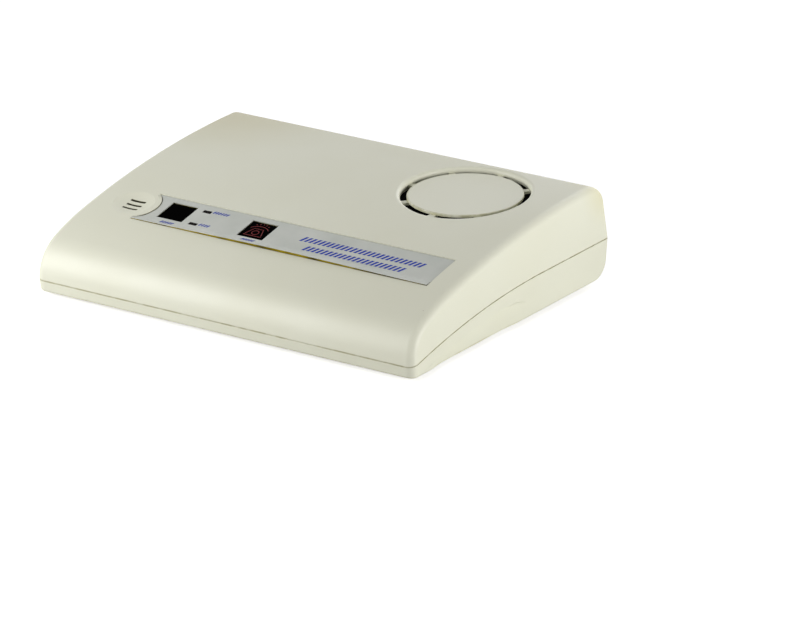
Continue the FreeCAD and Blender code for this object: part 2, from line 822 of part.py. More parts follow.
dish_ball_radius = (mm.mic_dish_radius ** 2 + mm.mic_dish_depth ** 2) / (2 * mm.mic_dish_depth)
dish_ball = doc.addObject("Part::Sphere", "dish_ball")
dish_ball.setExpression("Radius", bound("(mic_dish_radius ^ 2 + mic_dish_depth ^ 2) / (2 * mic_dish_depth)"))
dish_ball.Placement = moved(dish, 0, 0, dish_ball_radius - mm.mic_dish_depth)
mic_pad = cylinder("mic_pad", "mic_radius + mic_boot_wall", "mic_pad + wall / 2",
                   ("0", "0", "-wall - mic_pad"), dish)
MIC_SLOTS = [f"mic_slot_pitch * {number - (mm.mic_slot_count - 1) / 2}"
             for number in range(int(mm.mic_slot_count))]
mic_slots = [slab(f"mic_slot_{number}", ("mic_slot_length", "mic_slot_width", "3 * wall + 2 * mic_pad"),
                  ("0", back, "-2 * wall - mic_pad"), dish) for number, back in enumerate(MIC_SLOTS)]


# Rear openings: one for each socket, cut across both shells

BOARD_TOP = "board_height + board_thickness"
JACK_PORT = ("jack_width - 4 * port_gap", "jack_floor - port_gap", "jack_mouth_height + 2 * port_gap")
PORTS = {
    "line_jack": (JACKS["line_jack"], *JACK_PORT),
    "phone_jack": (JACKS["phone_jack"], *JACK_PORT),
    "slide_switch": (SWITCH_X, "slide_window_width + 2 * port_gap",
                     "(slide_switch_height - slide_window_height) / 2 - port_gap",
                     "slide_window_height + 2 * port_gap"),
    "inlet": (INLET_X, "2 * inlet_bore_radius + 2 * port_gap",
              "inlet_height / 2 - inlet_bore_radius - port_gap", "2 * inlet_bore_radius + 2 * port_gap"),
}
port_boxes = [box(f"{port}_port", (width, "socket_inset + 2 * wall", height),
                  (f"{x} - ({width}) / 2", f"{SOCKET_BACK} - wall", f"{BOARD_TOP} + {rise}"))
              for port, (x, width, rise, height) in PORTS.items()]


# Upper shell

pillars = [cylinder(f"pillar_{number}", "case_pillar_radius", "case_height - case_pillar_foot",
                    (x, y, "case_pillar_foot")) for number, (x, y) in enumerate(CASE_SCREWS)]
pillar_stock = common("pillar_stock", fuse("pillars", pillars), plain_feature(
    "pillar_limit", plain_upper(mm.wall / 2)))
pillar_holes = [cylinder(f"pillar_hole_{number}", "case_screw_radius + screw_gap", "case_screw_length",
                         (x, y, "case_pillar_foot - fit_gap")) for number, (x, y) in enumerate(CASE_SCREWS)]
upper_stock = fuse("upper_stock", [rolled_skin, grille_disc, pillar_stock, speaker_seat, mic_pad]
                   + spoke_bars + clamp_bosses + key_posts)
upper_cuts = [panel_recess, dish_ball] + key_openings + lamp_openings + mic_slots
upper_cuts += port_boxes + clamp_holes + key_post_holes + pillar_holes
node(cut("top_case", upper_stock, upper_cuts))


# Lower shell

FLOOR = "foot_height + wall"
WELL_LENGTH = "cell_length + 2 * sleeve_wall + 2 * battery_gap"
WELL_WIDTH = "2 * cell_radius * cell_count + 2 * sleeve_wall + 2 * battery_gap"
WELL_TOP = "foot_height + cover_thickness + 2 * cell_radius + 2 * sleeve_wall + battery_gap"
WELL_BACK = f"{BATTERY_FRONT} + {WELL_LENGTH}"
EAR_MIDDLE = f"{WELL_BACK} + cover_overlap + cover_ear_length / 2 - ear_hole_shift"

well_block = box("well_block", (f"{WELL_WIDTH} + 2 * well_wall", f"{WELL_LENGTH} + 2 * well_wall",
                                f"{WELL_TOP} + well_wall - foot_height - wall / 2"),
                 (f"-({WELL_WIDTH}) / 2 - well_wall", f"{BATTERY_FRONT} - well_wall",
                  "foot_height + wall / 2"))
well_space = box("well_space", (WELL_WIDTH, WELL_LENGTH, f"{WELL_TOP} + {PAST}"),
                 (f"-({WELL_WIDTH}) / 2", BATTERY_FRONT, -PAST))
cover_rebate = box("cover_rebate", (f"{WELL_WIDTH} + 2 * cover_overlap + 2 * fit_gap",
                                    f"{WELL_LENGTH} + 2 * cover_overlap + 2 * fit_gap",
                                    "foot_height + cover_thickness"),
                   (f"-({WELL_WIDTH}) / 2 - cover_overlap - fit_gap",
                    f"{BATTERY_FRONT} - cover_overlap - fit_gap", "0"))
ear_rebate = box("ear_rebate", ("cover_ear_width + 2 * fit_gap", "cover_ear_length + 2 * fit_gap",
                                "foot_height + cover_thickness"),
                 ("-cover_ear_width / 2 - fit_gap", f"{WELL_BACK} + cover_overlap - fit_gap", "0"))
ear_boss = cylinder("ear_boss", "board_post_radius", "small_screw_length",
                    ("0", EAR_MIDDLE, "foot_height + wall / 2"))
ear_boss_hole = cylinder("ear_boss_hole", "small_screw_radius + screw_gap", "2 * small_screw_length",
                         ("0", EAR_MIDDLE, "0"))
TONGUES = ("-tongue_spread", "tongue_spread")
TONGUE_LOW = "foot_height + wall + fit_gap"
well_lead_hole = cylinder("well_lead_hole", "2 * lead_radius", f"well_wall + 2 * {PAST}",
                          ("3 * cell_radius", f"{WELL_BACK} - {PAST}",
                           "foot_height + cover_thickness + sleeve_wall + cell_radius"), axis=TO_BACK)
tongue_slots = [box(f"tongue_slot_{number}", ("tongue_width + 2 * fit_gap", f"well_wall + 2 * {PAST}",
                                              "tongue_thickness + 2 * fit_gap"),
                    (f"{x} - tongue_width / 2 - fit_gap", f"{BATTERY_FRONT} - well_wall - {PAST}",
                     f"{TONGUE_LOW} - fit_gap")) for number, x in enumerate(TONGUES)]

pedestals = [cylinder(f"pedestal_{number}", "case_pillar_radius + pedestal_border",
                      "case_pillar_foot - fit_gap - foot_height - wall / 2",
                      (x, y, "foot_height + wall / 2")) for number, (x, y) in enumerate(CASE_SCREWS)]
SCREW_SEAT = "foot_height + 2 * wall"
pedestal_holes = [cylinder(f"pedestal_hole_{number}", "case_screw_radius + screw_gap", "case_pillar_foot",
                           (x, y, PAST)) for number, (x, y) in enumerate(CASE_SCREWS)]
pedestal_sinks = [cylinder(f"pedestal_sink_{number}", "case_screw_head_radius + fit_gap",
                           f"{SCREW_SEAT} - {PAST}", (x, y, PAST))
                  for number, (x, y) in enumerate(CASE_SCREWS)]
foot_recesses = [cylinder(f"foot_recess_{number}", "foot_radius + fit_gap", "foot_height + foot_sink",
                          (x, y, "0")) for number, (x, y) in enumerate(FEET)]
board_posts = [cylinder(f"board_post_{number}", "board_post_radius", "board_height - foot_height - wall / 2",
                        (x, y, "foot_height + wall / 2")) for number, (x, y) in enumerate(BOARD_POSTS)]
board_post_holes = [cylinder(f"board_post_hole_{number}", "small_screw_radius + screw_gap",
                             "small_screw_length", (x, y, "board_height + fit_gap - small_screw_length"))
                    for number, (x, y) in enumerate(BOARD_POSTS)]


def ease(start, end):
    """two equal tangent arcs, seen from above, from one wall line to another that is parallel to it"""
    run = end.y - start.y
    step = end.x - start.x
    bend = (run ** 2 + step ** 2) / (4 * abs(step))
    sag = math.copysign(bend - math.sqrt(bend ** 2 - run ** 2 / 16), step)
    middle = (start + end) / 2
    first = Vector(start.x + sag, start.y + run / 4, start.z)
    last = Vector(end.x - sag, end.y - run / 4, end.z)
    return [Part.Arc(start, first, middle).toShape(), Part.Arc(middle, last, end).toShape()]


def grip_shape(side):
    """finger grip: the side wall eases in, runs set back under a crease that rises, and eases out"""
    front = FRONT + mm.grip_front
    tail = front + mm.grip_length
    peak = tail - mm.grip_tail
    full = front + mm.grip_lead
    base = mm.foot_height
    crease = base + mm.grip_peak_rise
    inner = SIDE - mm.grip_depth
    outer = SIDE + REACH
    rising = Part.Arc(at_x((front, base + mm.grip_front_rise), inner),
                      at_x(((front + peak) / 2, base + mm.grip_middle_rise), inner),
                      at_x((peak, crease), inner)).toShape()
    falling = Part.Arc(at_x((peak, crease), inner),
                       at_x((peak + mm.grip_tail / 2, crease - mm.grip_peak_rise / 25), inner),
                       at_x((tail, crease - mm.grip_peak_rise / 4), inner)).toShape()
    under_crease = prism([
        line((front, -REACH), (front, base + mm.grip_front_rise), inner), rising, falling,
        line((tail, crease - mm.grip_peak_rise / 4), (tail, -REACH), inner),
        line((tail, -REACH), (front, -REACH), inner)], inner, REACH)
    places = [(SIDE, front), (inner, full), (inner, peak), (SIDE, tail), (outer, tail), (outer, front)]
    seen = [Vector(x, y, -REACH) for x, y in places]
    outline = Part.Wire(ease(seen[0], seen[1]) + [Part.makeLine(seen[1], seen[2])] + ease(seen[2], seen[3])
                        + [Part.makeLine(seen[3], seen[4]), Part.makeLine(seen[4], seen[5]),
                           Part.makeLine(seen[5], seen[0])])
    block = under_crease.common(Part.Face(outline).extrude(Vector(0, 0, 2 * REACH)))
    lips = [edge for edge in block.Edges if middle_of(edge).x < SIDE - mm.grip_depth / 4
            and middle_of(edge).z > 0 and edge.Length > mm.grip_front_rise]
    block = block.makeFillet(mm.grip_round, lips)
    return block if side > 0 else block.mirror(Vector(0, 0, 0), Vector(1, 0, 0))


grips = [plain_feature(f"grip_{number}", grip_shape(side)) for number, side in enumerate(EVERY_SIDE)]
GRIP_WALL = f"grip_depth + wall + 2 * {PAST}"
grip_stock = [box(f"grip_stock_{number}", (GRIP_WALL, "grip_length", "grip_peak_rise + wall"),
                  (f"{side} * (case_width / 2 - grip_depth - wall) - {(1 - side) / 2} * ({GRIP_WALL})",
                   "grip_front / 2 - case_depth / 2", "foot_height"))
              for number, side in enumerate(EVERY_SIDE)]
lower_solid = common("lower_solid", lower_outside, below_bottom)
grip_walls = common("grip_walls", fuse("grip_stocks", grip_stock), lower_solid)
lower_parts = [lower_open, lip, grip_walls, well_block, ear_boss] + pedestals + board_posts
lower_stock = fuse("lower_stock", lower_parts)
lower_cuts = grips + [well_space, well_lead_hole, cover_rebate, ear_rebate, ear_boss_hole] + tongue_slots
lower_cuts += pedestal_holes + pedestal_sinks + foot_recesses + board_post_holes + port_boxes
node(cut("bottom_case", lower_stock, lower_cuts))


# Battery cover: a plate with two tongues at the front and a screwed ear at the back

cover_plate = box("cover_plate", (f"{WELL_WIDTH} + 2 * cover_overlap", f"{WELL_LENGTH} + 2 * cover_overlap",
                                  "cover_thickness"),
                  (f"-({WELL_WIDTH}) / 2 - cover_overlap", f"{BATTERY_FRONT} - cover_overlap", "foot_height"))
cover_ear = box("cover_ear", ("cover_ear_width", "cover_ear_length", "cover_thickness"),
                ("-cover_ear_width / 2", f"{WELL_BACK} + cover_overlap", "foot_height"))
TONGUE_BACK = f"{BATTERY_FRONT} + battery_gap - fit_gap"
ROOT_LOW = "foot_height + cover_thickness / 2"
cover_tongues = []
for number, x in enumerate(TONGUES):
    cover_tongues.append(box(f"tongue_{number}", ("tongue_width", "tongue_reach", "tongue_thickness"),
                             (f"{x} - tongue_width / 2", f"{TONGUE_BACK} - tongue_reach", TONGUE_LOW)))
    cover_tongues.append(box(f"tongue_root_{number}", ("tongue_width", "tongue_root",
                                                       f"{TONGUE_LOW} + tongue_thickness - ({ROOT_LOW})"),
                             (f"{x} - tongue_width / 2", f"{TONGUE_BACK} - tongue_root", ROOT_LOW)))
cover_stock = fuse("cover_stock", [cover_plate, cover_ear] + cover_tongues)
COVER_SCREW_SEAT = "foot_height + cover_thickness / 2"
cover_hole = cylinder("cover_hole", "small_screw_radius + screw_gap", "3 * cover_thickness",
                      ("0", EAR_MIDDLE, "0"))
cover_sink = cylinder("cover_sink", "small_screw_head_radius + screw_gap", COVER_SCREW_SEAT,
                      ("0", EAR_MIDDLE, "0"))
node(cut("battery_cover", cover_stock, [cover_hole, cover_sink]))
node(screw("battery_cover_screw", ("0", EAR_MIDDLE, COVER_SCREW_SEAT), "small_screw_radius",
           "small_screw_length", "small_screw_head_radius", "cover_thickness / 2"))


# Case screws and feet

node(group("case_screws", [screw(f"case_screw_{number}", (x, y, SCREW_SEAT), "case_screw_radius",
                                 "case_screw_length", "case_screw_head_radius", "case_screw_head")
                           for number, (x, y) in enumerate(CASE_SCREWS)]))
node(group("rubber_feet", [turned(f"foot_{number}", [
    ("0", "0"), ("foot_radius - foot_round", "0"), ("foot_radius", "foot_round"),
    ("foot_radius", "foot_height + foot_sink"),
    ("0", "foot_height + foot_sink")], moved(WORLD, value(x), value(y), 0))
    for number, (x, y) in enumerate(FEET)]))


# Printed overlay and its adhesive, both with openings for the keys and the lamps

def panel_sheet(name, inset, low, thickness, mic_clearance):
    """a thin sheet in the panel recess, with a hollow end round the microphone dish"""
    blank = box(name + "_blank", (f"{PANEL_LENGTH} - {inset}", f"panel_depth - 2 * ({inset})", thickness),
                (PANEL_LEFT, f"-panel_depth / 2 + {inset}", low), panel)
    end = cylinder(name + "_end", f"mic_dish_radius + mic_border + {mic_clearance}", "6 * panel_recess",
                   ("0", "0", "-3 * panel_recess"), dish)
    holes = [slab(f"{name}_{key}_hole", (*KEY_HOLE, "wall"), (x, "key_back", "-wall"), panel)
             for key, x in KEYS.items()]
    holes += [slab(f"{name}_{lamp}_hole", (*LAMP_HOLE, "wall"), (LAMP_X, back, "-wall"), panel)
              for lamp, back in LAMPS.items()]
    return cut(name, blank, [end] + holes)


node(panel_sheet("overlay_adhesive", "adhesive_inset", RECESS_FLOOR, "adhesive_thickness",
                 "adhesive_inset"))
node(panel_sheet("front_overlay", "overlay_edge_gap", "adhesive_thickness - panel_recess",
                 "overlay_thickness", "overlay_edge_gap"))


# Keys, their switches and the key board

BOARD_FACE = "key_board_thickness - key_board_drop"
SWITCH_FACE = f"{BOARD_FACE} + switch_height"
FLANGE_TOP = "-wall - 2 * fit_gap"
FLANGE_LOW = f"{FLANGE_TOP} - key_flange_thickness"
PLUNGER_TOP = f"{SWITCH_FACE} + plunger_rise"
for key, x in KEYS.items():
    cap_blank = slab(f"{key}_cap_blank", ("key_width", "key_length",
                                          "wall + 2 * fit_gap - key_sink + key_flange_thickness"),
                     (x, "key_back", FLANGE_LOW), panel)
    doc.recompute()
    cap = rounded_where(f"{key}_cap", cap_blank, panel,
                        lambda local, edge: local.z > value(FLANGE_LOW) + mm.key_round, mm.key_round)
    flange = slab(f"{key}_flange", ("key_width + 2 * key_flange", "key_length + 2 * key_flange",
                                    "key_flange_thickness"), (x, "key_back", FLANGE_LOW), panel)
    stem = cylinder(f"{key}_stem", "key_stem_radius", f"{FLANGE_LOW} - ({PLUNGER_TOP})",
                    (x, "key_back", PLUNGER_TOP), panel)
    node(fuse(f"{key}_key", [cap, flange, stem]))
    node(cylinder(f"{key}_switch_plunger", "plunger_radius", "plunger_rise + plunger_depth",
                  (x, "key_back", f"{SWITCH_FACE} - plunger_depth"), panel))
    case = slab(f"{key}_switch_case", ("switch_width", "switch_width", "switch_height"),
                (x, "key_back", BOARD_FACE), panel)
    bore = cylinder(f"{key}_switch_bore", "plunger_radius + plunger_gap", "switch_height",
                    (x, "key_back", f"{SWITCH_FACE} - plunger_depth - key_travel - plunger_spare"), panel)
    node(cut(f"{key}_switch_body", case, [bore]))

key_board_blank = box("key_board_blank", (f"{KEY_BOARD_RIGHT} - ({KEY_BOARD_LEFT})", "key_board_depth",
                                          "key_board_thickness"),
                      (KEY_BOARD_LEFT, "-key_board_depth / 2", "-key_board_drop"), panel)
key_board_holes = [cylinder(f"key_board_hole_{number}", "small_screw_radius + screw_gap",
                            "3 * key_board_thickness", (x, y, "-key_board_drop - key_board_thickness"), panel)
                   for number, (x, y) in enumerate(KEY_POSTS)]
node(cut("key_board", key_board_blank, key_board_holes))
node(group("key_board_screws", [screw(f"key_board_screw_{number}", (x, y, "-key_board_drop"),
                                      "small_screw_radius", "small_screw_length", "small_screw_head_radius",
                                      "small_screw_head", panel)
                                for number, (x, y) in enumerate(KEY_POSTS)]))
WINDOW_THICKNESS = "wall - panel_recess + adhesive_thickness + overlay_thickness"
for lamp, back in LAMPS.items():
    node(slab(f"{lamp}_lamp_window", ("lamp_window_width", "lamp_window_length", WINDOW_THICKNESS),
              (LAMP_X, back, "-wall"), panel))
    dome = doc.addObject("Part::Sphere", f"{lamp}_dome")
    dome.setExpression("Radius", bound("led_radius"))
    dome.Placement = moved(panel, value(LAMP_X), value(back), -mm.wall - mm.fit_gap - mm.led_radius)
    node(fuse(f"{lamp}_led", [dome, cylinder(f"{lamp}_led_post", "led_radius",
                                             f"-wall - fit_gap - led_radius - ({BOARD_FACE})",
                                             (LAMP_X, back, BOARD_FACE), panel)]))


# Loudspeaker

CLOTH_LOW = "-speaker_seat_drop - cloth_thickness"
FLANGE_FOOT = f"{CLOTH_LOW} - speaker_flange"
BASKET_FOOT = f"{CLOTH_LOW} - basket_depth"
node(cylinder("speaker_cloth", "speaker_radius", "cloth_thickness", ("0", "0", CLOTH_LOW), speaker))
FRAME_MOUTH = "cone_radius + 2 * cone_paper"
node(turned("speaker_frame", [
    (FRAME_MOUTH, CLOTH_LOW), ("speaker_radius", CLOTH_LOW), ("speaker_radius", FLANGE_FOOT),
    (f"{FRAME_MOUTH} + speaker_sheet", FLANGE_FOOT), ("basket_radius + speaker_sheet", BASKET_FOOT),
    ("0", BASKET_FOOT), ("0", f"{BASKET_FOOT} + speaker_sheet"),
    ("basket_radius", f"{BASKET_FOOT} + speaker_sheet")], speaker))
CONE_TOP = f"{CLOTH_LOW} - fit_gap"
node(turned("speaker_cone", [
    ("cone_radius", CONE_TOP), ("cone_radius + cone_paper", CONE_TOP),
    ("cone_neck_radius + cone_paper", f"{CONE_TOP} - cone_depth"),
    ("cone_neck_radius + cone_paper", f"{BASKET_FOOT} + speaker_sheet"),
    ("cone_neck_radius", f"{BASKET_FOOT} + speaker_sheet"), ("cone_neck_radius", f"{CONE_TOP} - cone_depth")],
    speaker))
CAP_FOOT = f"{CONE_TOP} - cone_depth"
CAP_EDGE = "cone_neck_radius - screw_gap"
CAP_SHOULDER = "dust_cap_rise * 0.75"
node(turned("speaker_dust_cap", [
    ("0", f"{CAP_FOOT} + dust_cap_rise - cone_paper"), ("0", f"{CAP_FOOT} + dust_cap_rise"),
    ("cone_neck_radius / 2", f"{CAP_FOOT} + {CAP_SHOULDER}"), (CAP_EDGE, CAP_FOOT),
    (CAP_EDGE, f"{CAP_FOOT} - 2 * cone_paper"), (f"{CAP_EDGE} - cone_paper", f"{CAP_FOOT} - 2 * cone_paper"),
    ("cone_neck_radius / 2", f"{CAP_FOOT} + {CAP_SHOULDER} - cone_paper")], speaker))
node(cylinder("speaker_magnet", "magnet_radius", "magnet_length",
              ("0", "0", f"{BASKET_FOOT} - magnet_length"), speaker))
node(group("speaker_screws", [fuse(f"speaker_screw_{number}", [
    screw(f"speaker_screw_pin_{number}", (*on_clamp(angle), f"{FLANGE_FOOT} - clamp_washer_thickness"),
          "small_screw_radius", "small_screw_length", "small_screw_head_radius", "small_screw_head", speaker),
    cylinder(f"speaker_washer_{number}", "clamp_washer_radius", "clamp_washer_thickness",
             (*on_clamp(angle), f"{FLANGE_FOOT} - clamp_washer_thickness"), speaker)])
    for number, angle in enumerate(CLAMPS)]))


# Microphone in its rubber boot

MIC_SEAT = "-wall - mic_pad"
MIC_FOOT = f"{MIC_SEAT} - mic_height"
node(turned("microphone_boot", [
    ("mic_radius + screw_gap", MIC_SEAT), ("mic_radius + mic_boot_wall", MIC_SEAT),
    ("mic_radius + mic_boot_wall", f"{MIC_FOOT} - mic_boot_wall"),
    ("2 * lead_radius", f"{MIC_FOOT} - mic_boot_wall"), ("2 * lead_radius", MIC_FOOT),
    ("mic_radius + screw_gap", MIC_FOOT)], dish))
node(cylinder("microphone_capsule", "mic_radius", "mic_height - fit_gap", ("0", "0", MIC_FOOT), dish))


# Main board and what stands on it

board_blank = box("board_blank", (f"{BOARD_RIGHT} - ({BOARD_LEFT})", f"{BOARD_BACK} - ({BOARD_FRONT})",
                                  "board_thickness"), (BOARD_LEFT, BOARD_FRONT, "board_height"))
board_holes = [cylinder(f"board_hole_{number}", "small_screw_radius + screw_gap", "3 * board_thickness",
                        (x, y, "board_height - board_thickness"))
               for number, (x, y) in enumerate(BOARD_POSTS)]
node(cut("main_board", board_blank, board_holes))
board_screws = []
for number, (x, y) in enumerate(BOARD_POSTS):
    head_down = Placement(Vector(value(x), value(y), value(BOARD_TOP)), UPSIDE_DOWN)
    board_screws.append(screw(f"main_board_screw_{number}", ("0", "0", "0"), "small_screw_radius",
                              "small_screw_length", "small_screw_head_radius", "small_screw_head", head_down))
node(group("main_board_screws", board_screws))


def board_part(name, size, centre, lift="0"):
    return slab(name, size, (*centre, f"{BOARD_TOP} + {lift}"))


def chip(name, width, length, centre, legs):
    """a dual-in-line package with its two rows of legs"""
    parts = [board_part(name + "_case", (width, length, "chip_height"), centre, "chip_lift")]
    for side in EVERY_SIDE:
        for number in range(legs):
            across = f"{centre[0]} + {number - (legs - 1) / 2} * chip_leg_pitch"
            back = f"{centre[1]} + {side} * ({length / 2} + chip_leg_reach)"
            parts.append(board_part(f"{name}_leg_{side}_{number}",
                                    ("chip_leg_width", "chip_leg_length", "chip_leg_height"), (across, back)))
    return node(fuse(name, parts))


# each part's place is counted from the board's edges, its sizes are width, length and height
TRANSFORMER = (f"{BOARD_LEFT} + 22", f"{BOARD_BACK} - 24")
node(fuse("line_transformer", [board_part("transformer_core", (24, 9, 16), TRANSFORMER),
                               board_part("transformer_bobbin", (14, 18, 12), TRANSFORMER, "1"),
                               board_part("transformer_base", (20, 20, 1.5), TRANSFORMER)]))
node(board_part("line_relay", (20, 10, 11), (f"{BOARD_LEFT} + 52", f"{BOARD_BACK} - 21")))
node(board_part("clock_crystal", (11, 4.6, 3.6), ("2", f"{BOARD_BACK} - 29")))
chip("processor_chip", 52, 13.5, ("-8", f"{BOARD_FRONT} + 17"), 20)
chip("memory_chip", 10, 6.4, ("-16", f"{BOARD_FRONT} + 31"), 4)
chip("dialler_chip", 23, 6.4, (f"{BOARD_LEFT} + 18", f"{BOARD_FRONT} + 19"), 9)
CAPACITOR = SimpleNamespace(radius="5", height="14", back=f"{BOARD_BACK} - 19")
node(group("filter_capacitors", [cylinder(f"capacitor_{number}", CAPACITOR.radius, CAPACITOR.height,
                                          (x, CAPACITOR.back, BOARD_TOP))
                                 for number, x in enumerate(("-2", "10"))]))
REGULATOR = (f"{INLET_X} + 18", f"{BOARD_BACK} - 10")
REGULATOR_LENGTH = 4.6
SINK_WALL = 1.5
FIN = (1.2, 7, 12)
FIN_PITCH = 4.5
SINK_Y = f"{REGULATOR[1]} + {(REGULATOR_LENGTH + SINK_WALL) / 2}"
regulator = [board_part("regulator_case", (10, REGULATOR_LENGTH, 9), REGULATOR, "3")]
regulator += [board_part(f"regulator_leg_{number}", (0.8, 0.6, 3.5),
                         (f"{REGULATOR[0]} + {number - 1} * chip_leg_pitch", REGULATOR[1]))
              for number in range(3)]
node(fuse("voltage_regulator", regulator))
sink = [board_part("heat_sink_back", (20, SINK_WALL, FIN[2]), (REGULATOR[0], SINK_Y))]
FIN_Y = f"{SINK_Y} + {FIN[1] / 2}"
sink += [board_part(f"fin_{number}", FIN, (f"{REGULATOR[0]} + {number - 2} * {FIN_PITCH}", FIN_Y))
         for number in range(5)]
node(fuse("heat_sink", sink))
RADIO = (f"{BOARD_RIGHT} - 28", f"{BOARD_FRONT} + 11")
RADIO_HEIGHT = 14
RADIO_CAN = (f"{RADIO[0]} - 8", f"{RADIO[1]} + 3.6")
node(fuse("radio_board", [board_part("radio_plate", (42, 1.2, RADIO_HEIGHT), RADIO),
                          board_part("radio_can", (20, 6, 9), RADIO_CAN, "2")]))


# Rear sockets

def jack(name, x):
    """a modular telephone socket, open to the back, with a latch slot under its mouth"""
    case = box(name + "_case", ("jack_width", "jack_length", "jack_height"),
               (f"{x} - jack_width / 2", f"{SOCKET_BACK} - jack_length", BOARD_TOP))
    mouth = box(name + "_mouth", ("jack_mouth_width", f"jack_mouth_depth + {PAST}", "jack_mouth_height"),
                (f"{x} - jack_mouth_width / 2", f"{SOCKET_BACK} - jack_mouth_depth",
                 f"{BOARD_TOP} + jack_floor"))
    latch = box(name + "_latch", ("latch_width", f"latch_depth + {PAST}", "jack_floor"),
                (f"{x} - latch_width / 2", f"{SOCKET_BACK} - latch_depth", f"{BOARD_TOP} + latch_floor"))
    node(cut(name, case, [mouth, latch]))
    contact_low = f"{BOARD_TOP} + jack_floor + jack_mouth_height - contact_height"
    contacts = []
    for number in range(int(mm.contact_count)):
        across = f"{x} + ({number} - (contact_count - 1) / 2) * contact_pitch - contact_width / 2"
        contacts.append(box(f"{name}_contact_{number}",
                            ("contact_width", "jack_mouth_depth - contact_inset", "contact_height"),
                            (across, f"{SOCKET_BACK} - jack_mouth_depth", contact_low)))
    node(group(name + "_contacts", contacts))


for name, x in JACKS.items():
    jack(name, x)

SWITCH_LOW = f"{BOARD_TOP} + (slide_switch_height - slide_window_height) / 2"
SWITCH_FRONT = f"{SOCKET_BACK} - slide_switch_length"
switch_case = box("slide_switch_case", ("slide_switch_width", "slide_switch_length", "slide_switch_height"),
                  (f"{SWITCH_X} - slide_switch_width / 2", SWITCH_FRONT, BOARD_TOP))
switch_slot = box("slide_switch_slot", ("slide_window_width", "slide_switch_length", "slide_window_height"),
                  (f"{SWITCH_X} - slide_window_width / 2", f"{SWITCH_FRONT} + slide_back_wall", SWITCH_LOW))
node(cut("power_switch_body", switch_case, [switch_slot]))
node(box("power_switch_slider", ("slide_window_width - slide_travel - 2 * slide_gap",
                                 "slide_switch_length + 2 * slide_gap", "slide_window_height - 2 * slide_gap"),
         (f"{SWITCH_X} - slide_window_width / 2 + slide_gap",
          f"{SWITCH_FRONT} + slide_back_wall + slide_gap", f"{SWITCH_LOW} + slide_gap")))

INLET_AXIS = f"{BOARD_TOP} + inlet_height / 2"
inlet_case = box("inlet_case", ("inlet_width", "inlet_length", "inlet_height"),
                 (f"{INLET_X} - inlet_width / 2", f"{SOCKET_BACK} - inlet_length", BOARD_TOP))
inlet_bore = cylinder("inlet_bore", "inlet_bore_radius", f"inlet_depth + {PAST}",
                      (INLET_X, f"{SOCKET_BACK} - inlet_depth", INLET_AXIS), axis=TO_BACK)
node(cut("power_inlet", inlet_case, [inlet_bore]))
node(cylinder("power_inlet_pin", "inlet_pin_radius", "inlet_depth - inlet_pin_inset",
              (INLET_X, f"{SOCKET_BACK} - inlet_depth", INLET_AXIS), axis=TO_BACK))


# Standby battery: a row of cells in a shrunk sleeve

PACK_FRONT = f"{BATTERY_FRONT} + battery_gap"
PACK_AXIS = "foot_height + cover_thickness + battery_gap / 4 + sleeve_wall + cell_radius"
SPAN = "(cell_count - 1) * cell_radius"
node(group("battery_cells", [cylinder(f"cell_{number}", "cell_radius - cell_gap / 2", "cell_length",
                                      (f"({number} - (cell_count - 1) / 2) * 2 * cell_radius",
                                       f"{PACK_FRONT} + sleeve_wall", PACK_AXIS), axis=TO_BACK)
                             for number in range(int(mm.cell_count))]))


def sleeve_form(name, radius, front, length):
    """a flat-sided roll: a box between two half-round ends"""
    middle = box(name + "_middle", (f"2 * {SPAN}", length, f"2 * ({radius})"),
                 (f"-({SPAN})", front, f"{PACK_AXIS} - ({radius})"))
    ends = [cylinder(f"{name}_end_{number}", radius, length, (f"{side} * {SPAN}", front, PACK_AXIS),
                     axis=TO_BACK) for number, side in enumerate(EVERY_SIDE)]
    return fuse(name, [middle] + ends)


PACK_LENGTH = "cell_length + 2 * sleeve_wall"
sleeve_outside = sleeve_form("sleeve_outside", "cell_radius + sleeve_wall", PACK_FRONT, PACK_LENGTH)
sleeve_inside = sleeve_form("sleeve_inside", "cell_radius", f"{PACK_FRONT} - {PAST}",
                            f"{PACK_LENGTH} + 2 * {PAST}")
node(cut("battery_sleeve", sleeve_outside, [sleeve_inside]))


# Headers on the main board, and the leads that plug into them

HEADER_TOP = f"{BOARD_TOP} + header_height"
RIBBON_X = f"{STOP_X} + ribbon_step"
HEADERS = {"speaker": (f"{SPEAKER_X} - 31", f"{SPEAKER_Y} - 10", "6"),
           "microphone": (f"{BOARD_LEFT} + 12", f"{BOARD_FRONT} + 6", "6"),
           "key": (RIBBON_X, f"{BOARD_FRONT} + 6", "15"), "battery": ("30", f"{BOARD_FRONT} + 6", "7")}
node(group("lead_headers", [board_part(f"{header}_header", (width, "header_length", "header_height"),
                                       (x, y)) for header, (x, y, width) in HEADERS.items()]))
node(slab("battery_plug", ("6", "4.4", "plug_height"), (*HEADERS["battery"][:2], HEADER_TOP)))


def turn_radius(before, corner, after):
    """largest radius that both runs have room for"""
    first = corner.sub(before)
    second = after.sub(corner)
    half_turn = first.getAngle(second) / 2
    return 0.45 * min(first.Length, second.Length) / math.tan(half_turn)


def lead_path(points):
    """straight runs joined by tangent arcs"""
    edges = []
    start = points[0]
    for before, corner, after in zip(points, points[1:], points[2:]):
        first = corner.sub(before).normalize()
        second = after.sub(corner).normalize()
        radius = turn_radius(before, corner, after)
        half_turn = first.getAngle(second) / 2
        back = radius * math.tan(half_turn)
        enter = corner.sub(Vector(first).multiply(back))
        leave = corner.add(Vector(second).multiply(back))
        inward = second.sub(first).normalize()
        middle = corner.add(inward.multiply(radius / math.cos(half_turn) - radius))
        edges.append(Part.LineSegment(start, enter).toShape())
        edges.append(Part.Arc(enter, middle, leave).toShape())
        start = leave
    edges.append(Part.LineSegment(start, points[-1]).toShape())
    return Part.Wire(edges)


